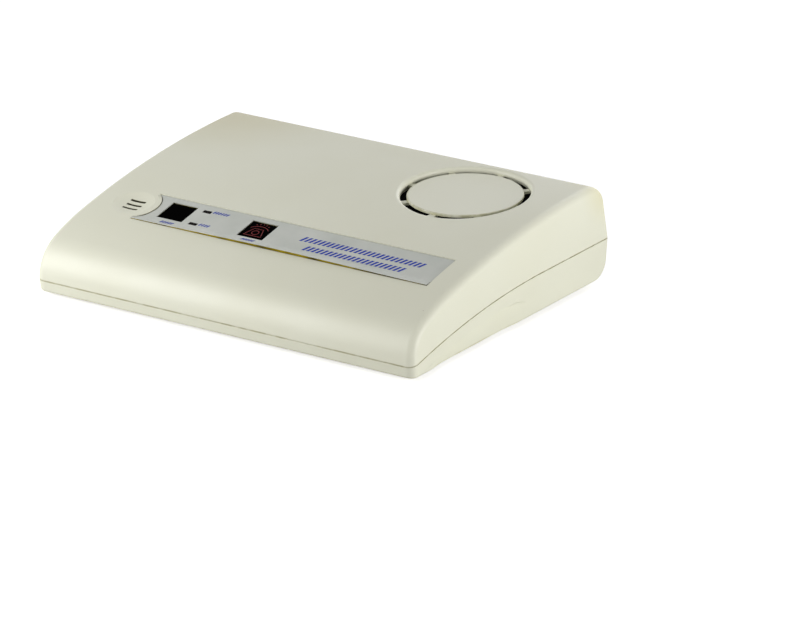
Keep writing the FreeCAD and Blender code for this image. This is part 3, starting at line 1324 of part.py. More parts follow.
def lead(name, points, section):
    """a lead along its route, with its volume held against section times length"""
    path = lead_path(points)
    solid = path.makePipeShell([section(points[0], points[1].sub(points[0]))], True, False)
    feature = node(plain_feature(name, solid))
    area = Part.Face(section(points[0], points[1].sub(points[0]))).Area
    radii = [turn_radius(*three) for three in zip(points, points[1:], points[2:])]
    print(name, "length", round(path.Length, 1), "radii", [round(radius, 1) for radius in radii],
          "volume over section times length", round(solid.Volume / (area * path.Length), 4))
    return feature


def round_section(radius):
    """a round lead's cut end"""
    return lambda start, heading: Part.Wire(Part.makeCircle(radius, start, heading))


def flat_section(width, thickness):
    """a ribbon's cut end: its width lies along X"""
    def section(start, heading):
        across = Vector(width / 2, 0, 0)
        through = Vector(1, 0, 0).cross(heading).normalize().multiply(thickness / 2)
        corners = [start + across + through, start - across + through, start - across - through,
                   start + across - through]
        return Part.makePolygon(corners + corners[:1])
    return section


def header_point(header, rise=0.0):
    x, y, _ = HEADERS[header]
    return Vector(value(x), value(y), value(HEADER_TOP) + rise)


cable = round_section(mm.lead_radius)
ribbon = flat_section(mm.ribbon_width, mm.ribbon_thickness)

mic_exit = dish.multVec(Vector(0, 0, value(MIC_FOOT)))
mic_down = dish.multVec(Vector(0, 0, value(MIC_FOOT) - 8))
mic_end = header_point("microphone")
lead("microphone_lead", [mic_exit, mic_down, mic_down + Vector(1, 9, -3), mic_down + Vector(2, 22, -2),
                         mic_end + UP * 6, mic_end], cable)
TAG_DROP = 8
TAG_OUT = 4.2
tag_radius = mm.basket_radius + mm.speaker_sheet / 2 + TAG_OUT
speaker_tag = speaker.multVec(Vector(-tag_radius, 0, value(CLOTH_LOW) - TAG_DROP))
speaker_end = header_point("speaker")
lead("speaker_lead", [speaker_tag, speaker_tag + Vector(-7, -2, -3), speaker_end + Vector(4, 6, 9),
                      speaker_end + UP * 5, speaker_end], cable)
battery_tag = Vector(value("3 * cell_radius"), value(f"{PACK_FRONT} + {PACK_LENGTH}"), value(PACK_AXIS))
battery_end = header_point("battery", mm.plug_height)
lead("battery_lead", [battery_tag, battery_tag + Vector(1, 7, 0), battery_end + Vector(-3, -6, 5),
                      battery_end + UP * 4, battery_end], cable)
ribbon_x = value(RIBBON_X)
ribbon_back = mm.key_board_depth / 2 - 3
ribbon_top = panel.multVec(Vector(ribbon_x, ribbon_back, -mm.key_board_drop))
ribbon_down = panel.multVec(Vector(ribbon_x, ribbon_back, -mm.key_board_drop - 3.5))
ribbon_end = header_point("key")
lead("key_ribbon", [ribbon_top, ribbon_down, ribbon_down + Vector(0, 16, -1.2),
                    ribbon_end + Vector(0, -2, 7.5), ribbon_end + UP * 3.5, ribbon_end], ribbon)
antenna_foot = Vector(value(RADIO[0]), value(RADIO[1]), value(f"{BOARD_TOP} + {RADIO_HEIGHT}"))
lead("receiver_antenna", [antenna_foot, antenna_foot + UP * 6, antenna_foot + Vector(-14, -1, 9),
                          antenna_foot + Vector(-40, -2, 8), antenna_foot + Vector(-74, 0, 7)],
     round_section(mm.antenna_radius))


# Every feature is checked before any file is written

doc.recompute()
for feature in doc.Objects:
    for word in ("Invalid", "Error"):
        if word in feature.State:
            raise RuntimeError(f"{feature.Name} is {word}")
for label, feature in nodes.items():
    if feature.Shape.isNull() or not feature.Shape.isValid() or not feature.Shape.Solids:
        raise RuntimeError(f"{label} has no sound shape")

os.makedirs("parts", exist_ok=True)
for label, feature in nodes.items():
    feature.Shape.exportStep(f"parts/{label}.step")
    print(label, len(feature.Shape.Solids), round(feature.Shape.Volume, 1))
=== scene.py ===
# %% [markdown]
# # A medical alert base station
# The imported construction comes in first, as a fixed frame: two moulded case halves, a key strip,
# a loudspeaker grille and all that they hold. The scene adds finishes, print and light around it.

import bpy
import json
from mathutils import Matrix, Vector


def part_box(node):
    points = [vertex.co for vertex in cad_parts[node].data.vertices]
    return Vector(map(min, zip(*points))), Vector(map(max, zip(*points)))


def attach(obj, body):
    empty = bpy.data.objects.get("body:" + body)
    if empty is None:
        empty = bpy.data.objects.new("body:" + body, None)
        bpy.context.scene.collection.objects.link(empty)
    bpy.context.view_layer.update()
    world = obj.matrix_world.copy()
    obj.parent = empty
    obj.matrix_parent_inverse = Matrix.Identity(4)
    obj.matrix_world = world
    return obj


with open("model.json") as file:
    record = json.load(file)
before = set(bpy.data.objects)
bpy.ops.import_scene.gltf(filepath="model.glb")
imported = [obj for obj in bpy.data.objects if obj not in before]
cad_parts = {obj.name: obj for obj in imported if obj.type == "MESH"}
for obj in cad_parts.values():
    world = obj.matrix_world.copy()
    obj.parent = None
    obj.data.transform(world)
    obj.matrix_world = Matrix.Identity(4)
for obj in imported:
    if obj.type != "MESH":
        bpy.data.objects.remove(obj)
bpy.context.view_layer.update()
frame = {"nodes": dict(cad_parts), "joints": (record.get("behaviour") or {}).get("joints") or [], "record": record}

# %% Tools and units
import json
import math

import bpy
import numpy as np
from mathutils import Matrix, Vector

MM = 0.001
nodes = frame["nodes"]


def vertices(node):
    """every vertex of a construction node, as rows of X, Y and Z in metres"""
    flat = np.zeros(len(nodes[node].data.vertices) * 3, np.float32)
    nodes[node].data.vertices.foreach_get("co", flat)
    return flat.reshape(-1, 3).astype(float)


print(len(nodes), "construction nodes")

# %% [markdown]
# ## Colour and materials
# Colours are written as sRGB hex values, as a paint chip is measured, and Blender's shaders work in
# linear light. One function turns the first into the second. One more adds a shader node, so that a
# finish reads as a short list of what feeds what.

# %% Colour
def linear(hex_colour):
    """sRGB hex to linear: c / 12.92 for a low value, else ((c + 0.055) / 1.055) to the power 2.4"""
    shares = [int(hex_colour[start:start + 2], 16) / 255 for start in (1, 3, 5)]
    return (*[c / 12.92 if c <= 0.04045 else ((c + 0.055) / 1.055) ** 2.4 for c in shares], 1.0)


print("linear value of mid grey", round(linear("#808080")[0], 3))

# %% Nodes
# a colour Mix node's sockets by number: its factor, its two colours and its result
FACTOR, FIRST, SECOND, MIXED = 0, 6, 7, 2


def add(tree, kind, sockets=None, **settings):
    """one node: its own settings, and for each socket a constant or another node's output"""
    made = tree.nodes.new(kind)
    for word, setting in settings.items():
        setattr(made, word, setting)
    for name, source in (sockets or {}).items():
        if isinstance(source, bpy.types.NodeSocket):
            tree.links.new(source, made.inputs[name])
        else:
            made.inputs[name].default_value = source
    return made


def finish(name, colour, roughness, **constants):
    """a material with one principled shader, and the place of each point in metres"""
    material = bpy.data.materials.new(name)
    material.use_nodes = True
    tree = material.node_tree
    shader = tree.nodes["Principled BSDF"]
    shader.inputs["Base Color"].default_value = linear(colour)
    shader.inputs["Roughness"].default_value = roughness
    for word, number in constants.items():
        shader.inputs[word.replace("_", " ").title().replace("Ior", "IOR")].default_value = number
    place = add(tree, "ShaderNodeTexCoord").outputs["Object"]
    return material, tree, shader, place


def per_metre(size_mm):
    """a pattern's scale, from the size of one of its features"""
    return 1 / (size_mm * MM)


print("a pattern of 2 mm has the scale", per_metre(2.0))

# %% [markdown]
# ## Places on the key strip
# The strip lies on the slope, square to the keys' travel, so the key joint gives its direction. A
# place on it is so far across from the middle of the case and so far back from the strip's middle.
# Places typed in as X, Y and Z would go wrong with any change of the slope, and these don't.

# %% Strip coordinates
press = next(joint for joint in frame["joints"] if joint["name"] == "stop_press")
STRIP_UP = np.array(press["axis"]) / np.linalg.norm(press["axis"])
STRIP_ACROSS = np.array([1.0, 0.0, 0.0])
STRIP_BACK = np.cross(STRIP_UP, STRIP_ACROSS)
strip_points = vertices("front_overlay")
STRIP_FACE = (strip_points @ STRIP_UP).max()
strip_span = strip_points @ STRIP_BACK
STRIP_MIDDLE = (strip_span.min() + strip_span.max()) / 2


def on_strip(across, back, above):
    """points in metres from places in millimetres across, back and above the strip's face"""
    across, back, above = np.broadcast_arrays(across, back, above)
    sideways = np.multiply.outer(across * MM, STRIP_ACROSS)
    rearward = np.multiply.outer(STRIP_MIDDLE + back * MM, STRIP_BACK)
    return sideways + rearward + np.multiply.outer(STRIP_FACE + above * MM, STRIP_UP)


print("strip slope", round(math.degrees(math.acos(STRIP_UP[2])), 2), "degrees")

# %% [markdown]
# ## The case plastic
# The case is ABS, injection moulded against a spark-eroded tool: a fine, even grain with a soft
# sheen. Decades of daylight have turned it from white towards yellow, most at two rear corners, and
# dirt has gathered in its joints, while the shade in its hollows is painted into its colour. Painted
# stains would need an unwrapped mesh, so each one is a share from 0 to 1 instead, worked out from the
# distance to the place where it gathers.
#
# Painted shade comes first: the slots in the microphone's dish are darkened in their colour, where
# shade falls in them. The dish is part of a ball, so a point lies in a slot when it is further from
# the ball's centre than the ball's radius. A border round each slot and the low walls of the recess
# that the printed strip lies in are darkened as painted shade too.

# %% The microphone's slots
MIC_RADIUS_MM, MIC_DEPTH_MM, MIC_SIDE_MM, MIC_BEHIND_MM = 10.2, 1.7, 23.3, 0.5
SLOT_REACH_MM, SLOT_SKIN_MM, SLOT_DARK_MM = 6.3, 0.03, 0.3
CASE_SURFACE_MM = 0.4       # the case's surface stands this far over the film
case_low, case_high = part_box("top_case")
MIC_BALL_MM = (MIC_RADIUS_MM ** 2 + MIC_DEPTH_MM ** 2) / (2 * MIC_DEPTH_MM)
MIC_MIDDLE = on_strip(case_low.x / MM + MIC_SIDE_MM, MIC_BEHIND_MM, CASE_SURFACE_MM)
BALL_CENTRE = MIC_MIDDLE + STRIP_UP * (MIC_BALL_MM - MIC_DEPTH_MM) * MM


# painted shade: the slots' walls below the dish take a near-black colour, where shade falls in them
def inside_slots(tree, place):
    """1 within the slots: near the dish's middle, and further from the ball's centre than its radius"""
    from_ball = add(tree, "ShaderNodeVectorMath", {0: place, 1: BALL_CENTRE}, operation="DISTANCE")
    past = add(tree, "ShaderNodeMapRange", {"Value": from_ball.outputs["Value"],
                                            "From Min": (MIC_BALL_MM + SLOT_SKIN_MM) * MM,
                                            "From Max": (MIC_BALL_MM + SLOT_DARK_MM) * MM})
    from_middle = add(tree, "ShaderNodeVectorMath", {0: place, 1: MIC_MIDDLE}, operation="DISTANCE")
    near = add(tree, "ShaderNodeMath", {0: from_middle.outputs["Value"], 1: SLOT_REACH_MM * MM},
               operation="LESS_THAN")
    both = add(tree, "ShaderNodeMath", {0: past.outputs[0], 1: near.outputs[0]}, operation="MULTIPLY")
    return both.outputs[0]


print("microphone at", np.round(MIC_MIDDLE / MM, 1), "ball radius", round(MIC_BALL_MM, 1), "mm")

# %% A border round the slots
SLOT_ROWS, SLOT_PITCH_MM = 3, 3.4
BORDER_WIDTH_MM, BORDER_LENGTH_MM = (0.5, 0.8), (3.9, 4.4)      # where it starts to fade, and ends


# painted shade: an olive darkening along the edges of each slot, widening its dark look
def round_slots(tree, place):
    """1 close to the rows of slots: the way back from the middle, folded at each half pitch, is the
    way to the nearest row"""
    from_middle = add(tree, "ShaderNodeVectorMath", {0: place, 1: MIC_MIDDLE}, operation="SUBTRACT")
    back, across = [add(tree, "ShaderNodeVectorMath", {0: from_middle.outputs[0],
                                                       1: way / (SLOT_PITCH_MM * MM)},
                        operation="DOT_PRODUCT").outputs["Value"] for way in (STRIP_BACK, STRIP_ACROSS)]
    folded = add(tree, "ShaderNodeMath", {0: back, 1: 0.5}, operation="PINGPONG")
    aside = add(tree, "ShaderNodeMath", {0: across}, operation="ABSOLUTE")
    share = add(tree, "ShaderNodeMath", {0: back, 1: 0.0, 2: SLOT_ROWS / 2}, operation="COMPARE")
    for way, (near_mm, far_mm) in ((folded, BORDER_WIDTH_MM), (aside, BORDER_LENGTH_MM)):
        close = add(tree, "ShaderNodeMapRange", {"Value": way.outputs[0],
                                                 "From Min": near_mm / SLOT_PITCH_MM,
                                                 "From Max": far_mm / SLOT_PITCH_MM,
                                                 "To Min": 1.0, "To Max": 0.0})
        share = add(tree, "ShaderNodeMath", {0: share.outputs[0], 1: close.outputs[0]},
                    operation="MULTIPLY")
    return share.outputs[0]


print(SLOT_ROWS, "rows of slots", SLOT_PITCH_MM, "mm apart")

# %% The strip's recess
WALL_FOOT_MM, WALL_TOP_MM, WALL_REACH_MM = 0.05, 0.36, 0.5
DISH_MARGIN_MM, UNSHADED_REAR_MM = 1.6, 1.5
film_low, film_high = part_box("front_overlay")


# painted shade: the walls and floor of the gap round the film are darkened where its shadow falls; the lit rear
# wall is left out
def inside_recess(tree, place):
    """1 on the walls round the film: under the case's surface, within the strip's own rectangle but for
    its rear wall, and clear of the microphone's dish"""
    height = add(tree, "ShaderNodeVectorMath", {0: place, 1: STRIP_UP}, operation="DOT_PRODUCT")
    low = add(tree, "ShaderNodeMapRange", {"Value": height.outputs["Value"],
                                           "From Min": STRIP_FACE + WALL_FOOT_MM * MM,
                                           "From Max": STRIP_FACE + WALL_TOP_MM * MM,
                                           "To Min": 1.0, "To Max": 0.0})
    from_middle = add(tree, "ShaderNodeVectorMath", {0: place, 1: MIC_MIDDLE}, operation="DISTANCE")
    clear = add(tree, "ShaderNodeMath", {0: from_middle.outputs["Value"],
                                         1: (MIC_RADIUS_MM + DISH_MARGIN_MM) * MM},
                operation="GREATER_THAN")
    share = add(tree, "ShaderNodeMath", {0: low.outputs[0], 1: clear.outputs[0]}, operation="MULTIPLY")
    back = add(tree, "ShaderNodeVectorMath", {0: place, 1: STRIP_BACK}, operation="DOT_PRODUCT")
    axes = add(tree, "ShaderNodeSeparateXYZ", {"Vector": place})
    rear = strip_span.max() - UNSHADED_REAR_MM * MM
    for way, first, last in ((back.outputs["Value"], strip_span.min(), rear),
                             (axes.outputs["X"], film_low.x, film_high.x)):
        within = add(tree, "ShaderNodeMath", {0: way, 1: (first + last) / 2,
                                              2: (last - first) / 2 + WALL_REACH_MM * MM},
                     operation="COMPARE")
        share = add(tree, "ShaderNodeMath", {0: share.outputs[0], 1: within.outputs[0]},
                    operation="MULTIPLY")
    return share.outputs[0]


print("recess walls up to", WALL_TOP_MM, "mm over the film")

# %% [markdown]
# ## Dust in the joints and shade at the rim
# Dust settles where a cloth misses it: in the joint of the two halves, round the rim of the grille's
# disc and along the foot. At the rim the tint is also painted shade of the disc's wall. The joint and
# the rim are lines with short formulas, so the distance to each is a few sums, and the tint fades with
# that distance. A noise breaks the lines up.

# %% The joint of the halves
SEAM_MM, SEAM_BEND_BACK_MM, SEAM_BEND_RADIUS_MM = 20.7, 24.0, 425.0


def far_from_seam(tree, place):
    """distance in metres from the joint of the halves, which runs level, and towards the front falls
    as a circle does: height = level - R + square root of (R squared - (way past the bend) squared)"""
    axes = add(tree, "ShaderNodeSeparateXYZ", {"Vector": place})
    past = add(tree, "ShaderNodeMath", {0: SEAM_BEND_BACK_MM * MM, 1: axes.outputs["Y"]},
               operation="SUBTRACT")
    past = add(tree, "ShaderNodeMath", {0: past.outputs[0], 1: 0.0}, operation="MAXIMUM")
    square = add(tree, "ShaderNodeMath", {0: past.outputs[0], 1: 2.0}, operation="POWER")
    under = add(tree, "ShaderNodeMath", {0: (SEAM_BEND_RADIUS_MM * MM) ** 2, 1: square.outputs[0]},
                operation="SUBTRACT")
    root = add(tree, "ShaderNodeMath", {0: under.outputs[0]}, operation="SQRT")
    above = add(tree, "ShaderNodeMath", {0: axes.outputs["Z"], 1: root.outputs[0]}, operation="SUBTRACT")
    away = add(tree, "ShaderNodeMath", {0: above.outputs[0], 1: (SEAM_MM - SEAM_BEND_RADIUS_MM) * MM},
               operation="SUBTRACT")
    return add(tree, "ShaderNodeMath", {0: away.outputs[0]}, operation="ABSOLUTE").outputs[0]


print("the joint runs level", SEAM_MM, "mm up, behind", SEAM_BEND_BACK_MM, "mm")

# %% The rim of the grille's disc
DISC_RADIUS_MM = 26.9
cloth_low, cloth_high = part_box("speaker_cloth")
DISC_CENTRE = ((cloth_low.x + cloth_high.x) / 2, (cloth_low.y + cloth_high.y) / 2, 0.0)


def far_from_rim(tree, place):
    """distance in metres from the disc's rim: (way from its centre, as seen from above) - radius"""
    level = add(tree, "ShaderNodeVectorMath", {0: place, 1: (1.0, 1.0, 0.0)}, operation="MULTIPLY")
    from_disc = add(tree, "ShaderNodeVectorMath", {0: level.outputs[0], 1: DISC_CENTRE},
                    operation="DISTANCE")
    past = add(tree, "ShaderNodeMath", {0: from_disc.outputs["Value"], 1: DISC_RADIUS_MM * MM},
               operation="SUBTRACT")
    return add(tree, "ShaderNodeMath", {0: past.outputs[0]}, operation="ABSOLUTE").outputs[0]


print("grille disc at", [round(x / MM, 1) for x in DISC_CENTRE])

# %% Lines of dust, and painted shade at the rim
# each line: where it starts to fade and where it ends in mm, its depth and its tint
SEAM_DUST = (0.12, 0.55, 0.7, "#B5AE7C")
# the rim's olive tint is dust and painted shade of the disc's wall
RIM_DUST_AND_SHADE = (0.2, 0.9, 0.6, "#A9A574")
FOOT_DUST = (1.9, 2.9, 0.5, "#B9AE78")
DUST_PATCH_MM, THINNEST_DUST = 7.0, 0.15


def dust_and_shade_stains(tree, place):
    """pairs of a share and a tint: a fade with distance, times a noise that thins it in patches"""
    patch = add(tree, "ShaderNodeTexNoise", {"Vector": place, "Scale": per_metre(DUST_PATCH_MM),
                                             "Detail": 3.0})
    broken = add(tree, "ShaderNodeMapRange", {"Value": patch.outputs["Fac"], "From Min": 0.36,
                                              "From Max": 0.58, "To Min": THINNEST_DUST,
                                              "To Max": 1.0})
    axes = add(tree, "ShaderNodeSeparateXYZ", {"Vector": place})
    stains = []
    for distance, (near_mm, far_mm, depth, tint) in ((far_from_seam(tree, place), SEAM_DUST),
                                                     (far_from_rim(tree, place), RIM_DUST_AND_SHADE),
                                                     (axes.outputs["Z"], FOOT_DUST)):
        close = add(tree, "ShaderNodeMapRange", {"Value": distance, "From Min": near_mm * MM,
                                                 "From Max": far_mm * MM, "To Min": depth, "To Max": 0.0})
        dust = add(tree, "ShaderNodeMath", {0: close.outputs[0], 1: broken.outputs[0]},
                   operation="MULTIPLY")
        stains.append((dust.outputs[0], tint))
    return stains


print("dust thins in patches of", DUST_PATCH_MM, "mm")

# %% [markdown]
# ## Sun, specks and the finished plastic
# Sunlight yellows the case in wide clouds and most at its rear corners, and a few brown specks lie
# on it. The finished plastic takes its plain colour, and lays each stain over what is below it by
# that stain's share. A noise bump gives the grain, and the roughness drifts with the clouds, because
# handled plastic is polished unevenly.

# %% Clouds and sunned corners
CLOUD_MM, CLOUD_DEPTH, CLOUD_TINT = 55.0, 0.5, "#EAE9D3"
# each sunned corner: its place, the reach in mm, the depth and the tint
SUNNED = [((case_low.x, case_high.y, case_high.z), 75.0, 0.5, "#D2C694"),
          ((case_high.x, case_high.y, case_high.z), 24.0, 0.45, "#E6DC9A")]


def sun_stains(tree, place, cloud):
    """pairs of a share and a tint: a wide noise, and a smooth fade from each sunned corner"""
    share = add(tree, "ShaderNodeMapRange", {"Value": cloud, "From Min": 0.35, "From Max": 0.7,
                                             "To Min": 0.0, "To Max": CLOUD_DEPTH})
    stains = [(share.outputs[0], CLOUD_TINT)]
    for corner, reach_mm, depth, tint in SUNNED:
        away = add(tree, "ShaderNodeVectorMath", {0: place, 1: corner}, operation="DISTANCE")
        aged = add(tree, "ShaderNodeMapRange", {"Value": away.outputs["Value"],
                                                "From Max": reach_mm * MM, "To Min": depth,
                                                "To Max": 0.0}, interpolation_type="SMOOTHSTEP")
        stains.append((aged.outputs[0], tint))
    return stains


print(len(SUNNED), "sunned corners, and clouds of", CLOUD_MM, "mm")

# %% Specks
SPECK_CELL_MM, SPECK_SHARE, SPECK_EDGE, SPECK_TINT = 9.0, 0.14, (0.02, 0.035), "#8F7A5A"


def speck_stain(tree, place):
    """a dot at the middle of some of a cell pattern's cells: near the middle, in shares of a cell, times
    a cell's own random number being among the highest"""
    cells = add(tree, "ShaderNodeTexVoronoi", {"Vector": place, "Scale": per_metre(SPECK_CELL_MM)})
    near = add(tree, "ShaderNodeMapRange", {"Value": cells.outputs["Distance"],
                                            "From Min": SPECK_EDGE[0], "From Max": SPECK_EDGE[1],
                                            "To Min": 1.0, "To Max": 0.0})
    number = add(tree, "ShaderNodeSeparateColor", {"Color": cells.outputs["Color"]})
    some = add(tree, "ShaderNodeMath", {0: number.outputs["Red"], 1: 1 - SPECK_SHARE},
               operation="GREATER_THAN")
    dot = add(tree, "ShaderNodeMath", {0: near.outputs[0], 1: some.outputs[0]}, operation="MULTIPLY")
    return dot.outputs[0], SPECK_TINT


print("a speck in", SPECK_SHARE, "of the cells of", SPECK_CELL_MM, "mm")

# %% Moulded ABS, yellowed
ABS, ABS_IOR, ABS_ROUGHNESS = "#EFEFDC", 1.53, 0.46
PAINTED_SLOT_SHADE, PAINTED_SLOT_EDGE_SHADE, PAINTED_RECESS_SHADE = "#1C1A0A", "#4E4A20", "#5E5828"
GRAIN_MM = 0.8      # the real grain is about 0.15 mm, drawn coarser so that it shows
GRAIN_DEPTH_MM, GRAIN_SHARE = 0.05, 0.22
POLISHED, DULL = 0.40, 0.48     # the least and the most roughness


def moulded_abs(name):
    """the case's plastic: all stains and painted shade over its colour, a grain bump, and a sheen that drifts a
    little
    """
    material, tree, shader, place = finish(name, ABS, ABS_ROUGHNESS, Ior=ABS_IOR)
    cloud = add(tree, "ShaderNodeTexNoise", {"Vector": place, "Scale": per_metre(CLOUD_MM), "Detail": 3.0})
    stains = sun_stains(tree, place, cloud.outputs["Fac"]) + [speck_stain(tree, place)]
    stains += dust_and_shade_stains(tree, place)
    stains += [(inside_recess(tree, place), PAINTED_RECESS_SHADE), (round_slots(tree, place), PAINTED_SLOT_EDGE_SHADE),
               (inside_slots(tree, place), PAINTED_SLOT_SHADE)]
    colour = linear(ABS)
    # each share lays its tint over the colour; the slots, their borders, the recess walls and the disc's rim carry
    # painted shade
    for share, tint in stains:
        colour = add(tree, "ShaderNodeMix", {FACTOR: share, FIRST: colour, SECOND: linear(tint)},
                     data_type="RGBA").outputs[MIXED]
    tree.links.new(colour, shader.inputs["Base Color"])
    grain = add(tree, "ShaderNodeTexNoise", {"Vector": place, "Scale": per_metre(GRAIN_MM), "Detail": 2.0})
    bump = add(tree, "ShaderNodeBump", {"Height": grain.outputs["Fac"], "Strength": GRAIN_SHARE,
                                        "Distance": GRAIN_DEPTH_MM * MM})
    tree.links.new(bump.outputs["Normal"], shader.inputs["Normal"])
    gloss = add(tree, "ShaderNodeMapRange", {"Value": cloud.outputs["Fac"], "From Min": 0.3,
                                             "From Max": 0.7, "To Min": POLISHED, "To Max": DULL})
    tree.links.new(gloss.outputs[0], shader.inputs["Roughness"])
    return material


case_abs = moulded_abs("moulded_abs_yellowed")
print("case finish", case_abs.name)

# %% [markdown]
# ## Small moulded and metal finishes
# Each starts from its real material: typical colour, roughness and refraction. A single flat colour
# would look unreal, because no moulded, pressed or plated surface is perfectly even, and a graph
# built for each would be long. So one function gives them all a fine noise in colour and bump, and
# the line over each says which real surface it stands for.

# %% A finish with a fine noise
def uneven(name, colour, second, roughness, spot_mm, bump_mm=0.02, bump_share=0.15, spread=0.5,
           **constants):
    """a material whose colour drifts between two tones in spots of this size, with a matching bump;
    a smaller spread makes the change between the tones more sudden"""
    material, tree, shader, place = finish(name, colour, roughness, **constants)
    spots = add(tree, "ShaderNodeTexNoise", {"Vector": place, "Scale": per_metre(spot_mm), "Detail": 4.0})
    drift = add(tree, "ShaderNodeMapRange", {"Value": spots.outputs["Fac"], "From Min": 0.5 - spread,
                                             "From Max": 0.5 + spread})
    mixed = add(tree, "ShaderNodeMix", {FACTOR: drift.outputs[0], FIRST: linear(colour),
                                        SECOND: linear(second)}, data_type="RGBA")
    tree.links.new(mixed.outputs[MIXED], shader.inputs["Base Color"])
    bump = add(tree, "ShaderNodeBump", {"Height": spots.outputs["Fac"], "Strength": bump_share,
                                        "Distance": bump_mm * MM})
    tree.links.new(bump.outputs["Normal"], shader.inputs["Normal"])
    return material


# printed polyester film: cool grey, satin, a little cloudy where it was wiped
film = uneven("screen_printed_polyester_film", "#D6D8D1", "#C6CAC2", 0.45, 18.0, bump_share=0.05,
              spread=0.2)
# acrylic adhesive, gone yellow-brown and black with dirt along its edge
adhesive = uneven("aged_acrylic_adhesive", "#A08D1E", "#4A4012", 0.6, 9.0, spread=0.15,
                  Specular_Ior_Level=0.1)
print("strip finishes:", film.name, "and", adhesive.name)

# %% Keys, lamps and mouldings
# key caps: black ABS with a fine satin grain, which takes the mirror away
key_abs = uneven("black_abs_satin", "#040404", "#0A0A0A", 0.6, 0.6, Specular_Ior_Level=0.0)
# lamp windows: smoked polycarbonate, smooth and near black, with next to no mirror of the room
smoked = uneven("smoked_polycarbonate", "#150B0A", "#0C0707", 0.2, 3.0, bump_share=0.02,
                Specular_Ior_Level=0.02)
# lamps: cast epoxy, tinted red and glossy
lamp_resin = uneven("tinted_epoxy_resin", "#6E1410", "#5A100D", 0.12, 2.0, bump_share=0.02, Ior=1.5)
# soft feet and boot: carbon-black rubber, dusty
rubber = uneven("carbon_black_rubber", "#2A2A2A", "#3A3936", 0.8, 2.5)
# housings of sockets, switches and chips: glass-filled nylon and epoxy moulding
black_nylon = uneven("glass_filled_nylon_black", "#161617", "#202021", 0.5, 0.8)
# plugs and headers: natural nylon, ivory and waxy
white_nylon = uneven("natural_nylon", "#E6E2D2", "#DCD7C4", 0.42, 1.5)
print("last moulding:", white_nylon.name)

# %% Boards, paper, vinyl and varnish
# boards: glass-epoxy laminate under a green solder mask, satin
laminate = uneven("solder_masked_glass_epoxy", "#1F5A35", "#256B40", 0.35, 4.0)
# loudspeaker cone: pressed paper pulp, dull and fibrous
paper = uneven("pressed_paper_pulp", "#26241F", "#35322B", 0.85, 0.9, bump_mm=0.05)
# battery: heat-shrunk vinyl, smooth and half glossy
sleeve = uneven("heat_shrunk_vinyl", "#20406E", "#284B80", 0.3, 7.0)
# leads: extruded vinyl, even and satin
lead_vinyl = uneven("extruded_vinyl", "#2B2B2D", "#363638", 0.5, 1.2)
# transformer core: steel stampings under varnish, brownish and half metallic
lacquer = uneven("varnished_steel_stampings", "#4C4A48", "#5C5650", 0.45, 1.8, Metallic=0.6)
print("last of these:", lacquer.name)

# %% Metals
# screws: bright zinc plating, a bluish grey with a half-sharp mirror
zinc = uneven("zinc_plated_steel", "#B9BCC0", "#A2A6AB", 0.34, 1.6, Metallic=1.0)
# battery cells: nickel plating, warmer and sharper
nickel = uneven("nickel_plated_steel", "#C9C7C0", "#B7B5AE", 0.22, 5.0, Metallic=1.0)
# heat sink, crystal, pin and microphone can: rolled aluminium, a soft neutral sheen
bright = uneven("rolled_aluminium", "#C8CACC", "#B4B7BA", 0.3, 1.2, Metallic=1.0)
# socket contacts: a flash of gold, yellow and sharp
gold = uneven("flash_gold_plating", "#D9B45A", "#C9A24A", 0.25, 1.0, Metallic=1.0)
# loudspeaker basket and magnet: pressed steel, blackened, dark with a dull shine
pressed_steel = uneven("pressed_steel_blackened", "#3A3B3D", "#46484B", 0.4, 1.5, Metallic=0.8)
print(len(bpy.data.materials), "materials")

# %% [markdown]
# ## Loudspeaker cloth
# A black polyester cloth is stretched behind the grille, and shows in the gap round the disc.
# Modelled threads would take very many faces for so little, so two crossed waves make a plain weave.
# The real threads are 0.25 mm apart, drawn 0.7 mm apart so that the weave shows in the gap. A wave
# texture at scale 1 repeats every 0.31 m or so, which is about 1 / pi.

# %% Woven cloth
THREAD_MM = 0.7
THREAD_DEPTH_MM, WEAVE_DISTORTION = 0.1, 0.6


def woven_cloth(name):
    """black cloth: the product of two crossed waves is the height and the tone of its threads"""
    material, tree, shader, place = finish(name, "#050505", 0.95, Specular_Ior_Level=0.05)
    threads = []
    for direction in ("X", "Y"):
        wave = add(tree, "ShaderNodeTexWave", {"Vector": place, "Scale": per_metre(THREAD_MM) / math.pi,
                                               "Distortion": WEAVE_DISTORTION}, bands_direction=direction)
        threads.append(wave.outputs["Fac"])
    weave = add(tree, "ShaderNodeMath", {0: threads[0], 1: threads[1]}, operation="MULTIPLY")
    bump = add(tree, "ShaderNodeBump", {"Height": weave.outputs[0], "Strength": 0.6,
                                        "Distance": THREAD_DEPTH_MM * MM})
    tree.links.new(bump.outputs["Normal"], shader.inputs["Normal"])
    mixed = add(tree, "ShaderNodeMix", {FACTOR: weave.outputs[0], FIRST: linear("#020202"),
                                        SECOND: linear("#0E0E0F")}, data_type="RGBA")
    tree.links.new(mixed.outputs[MIXED], shader.inputs["Base Color"])
    return material


cloth = woven_cloth("plain_woven_polyester")
print("thread spacing", THREAD_MM, "mm")

# %% [markdown]
# ## Who wears what
# Every construction node takes its finish here. A list of all the nodes would be long, and the
# record's slots group them by what they are made of already, so one table gives a finish to each slot.

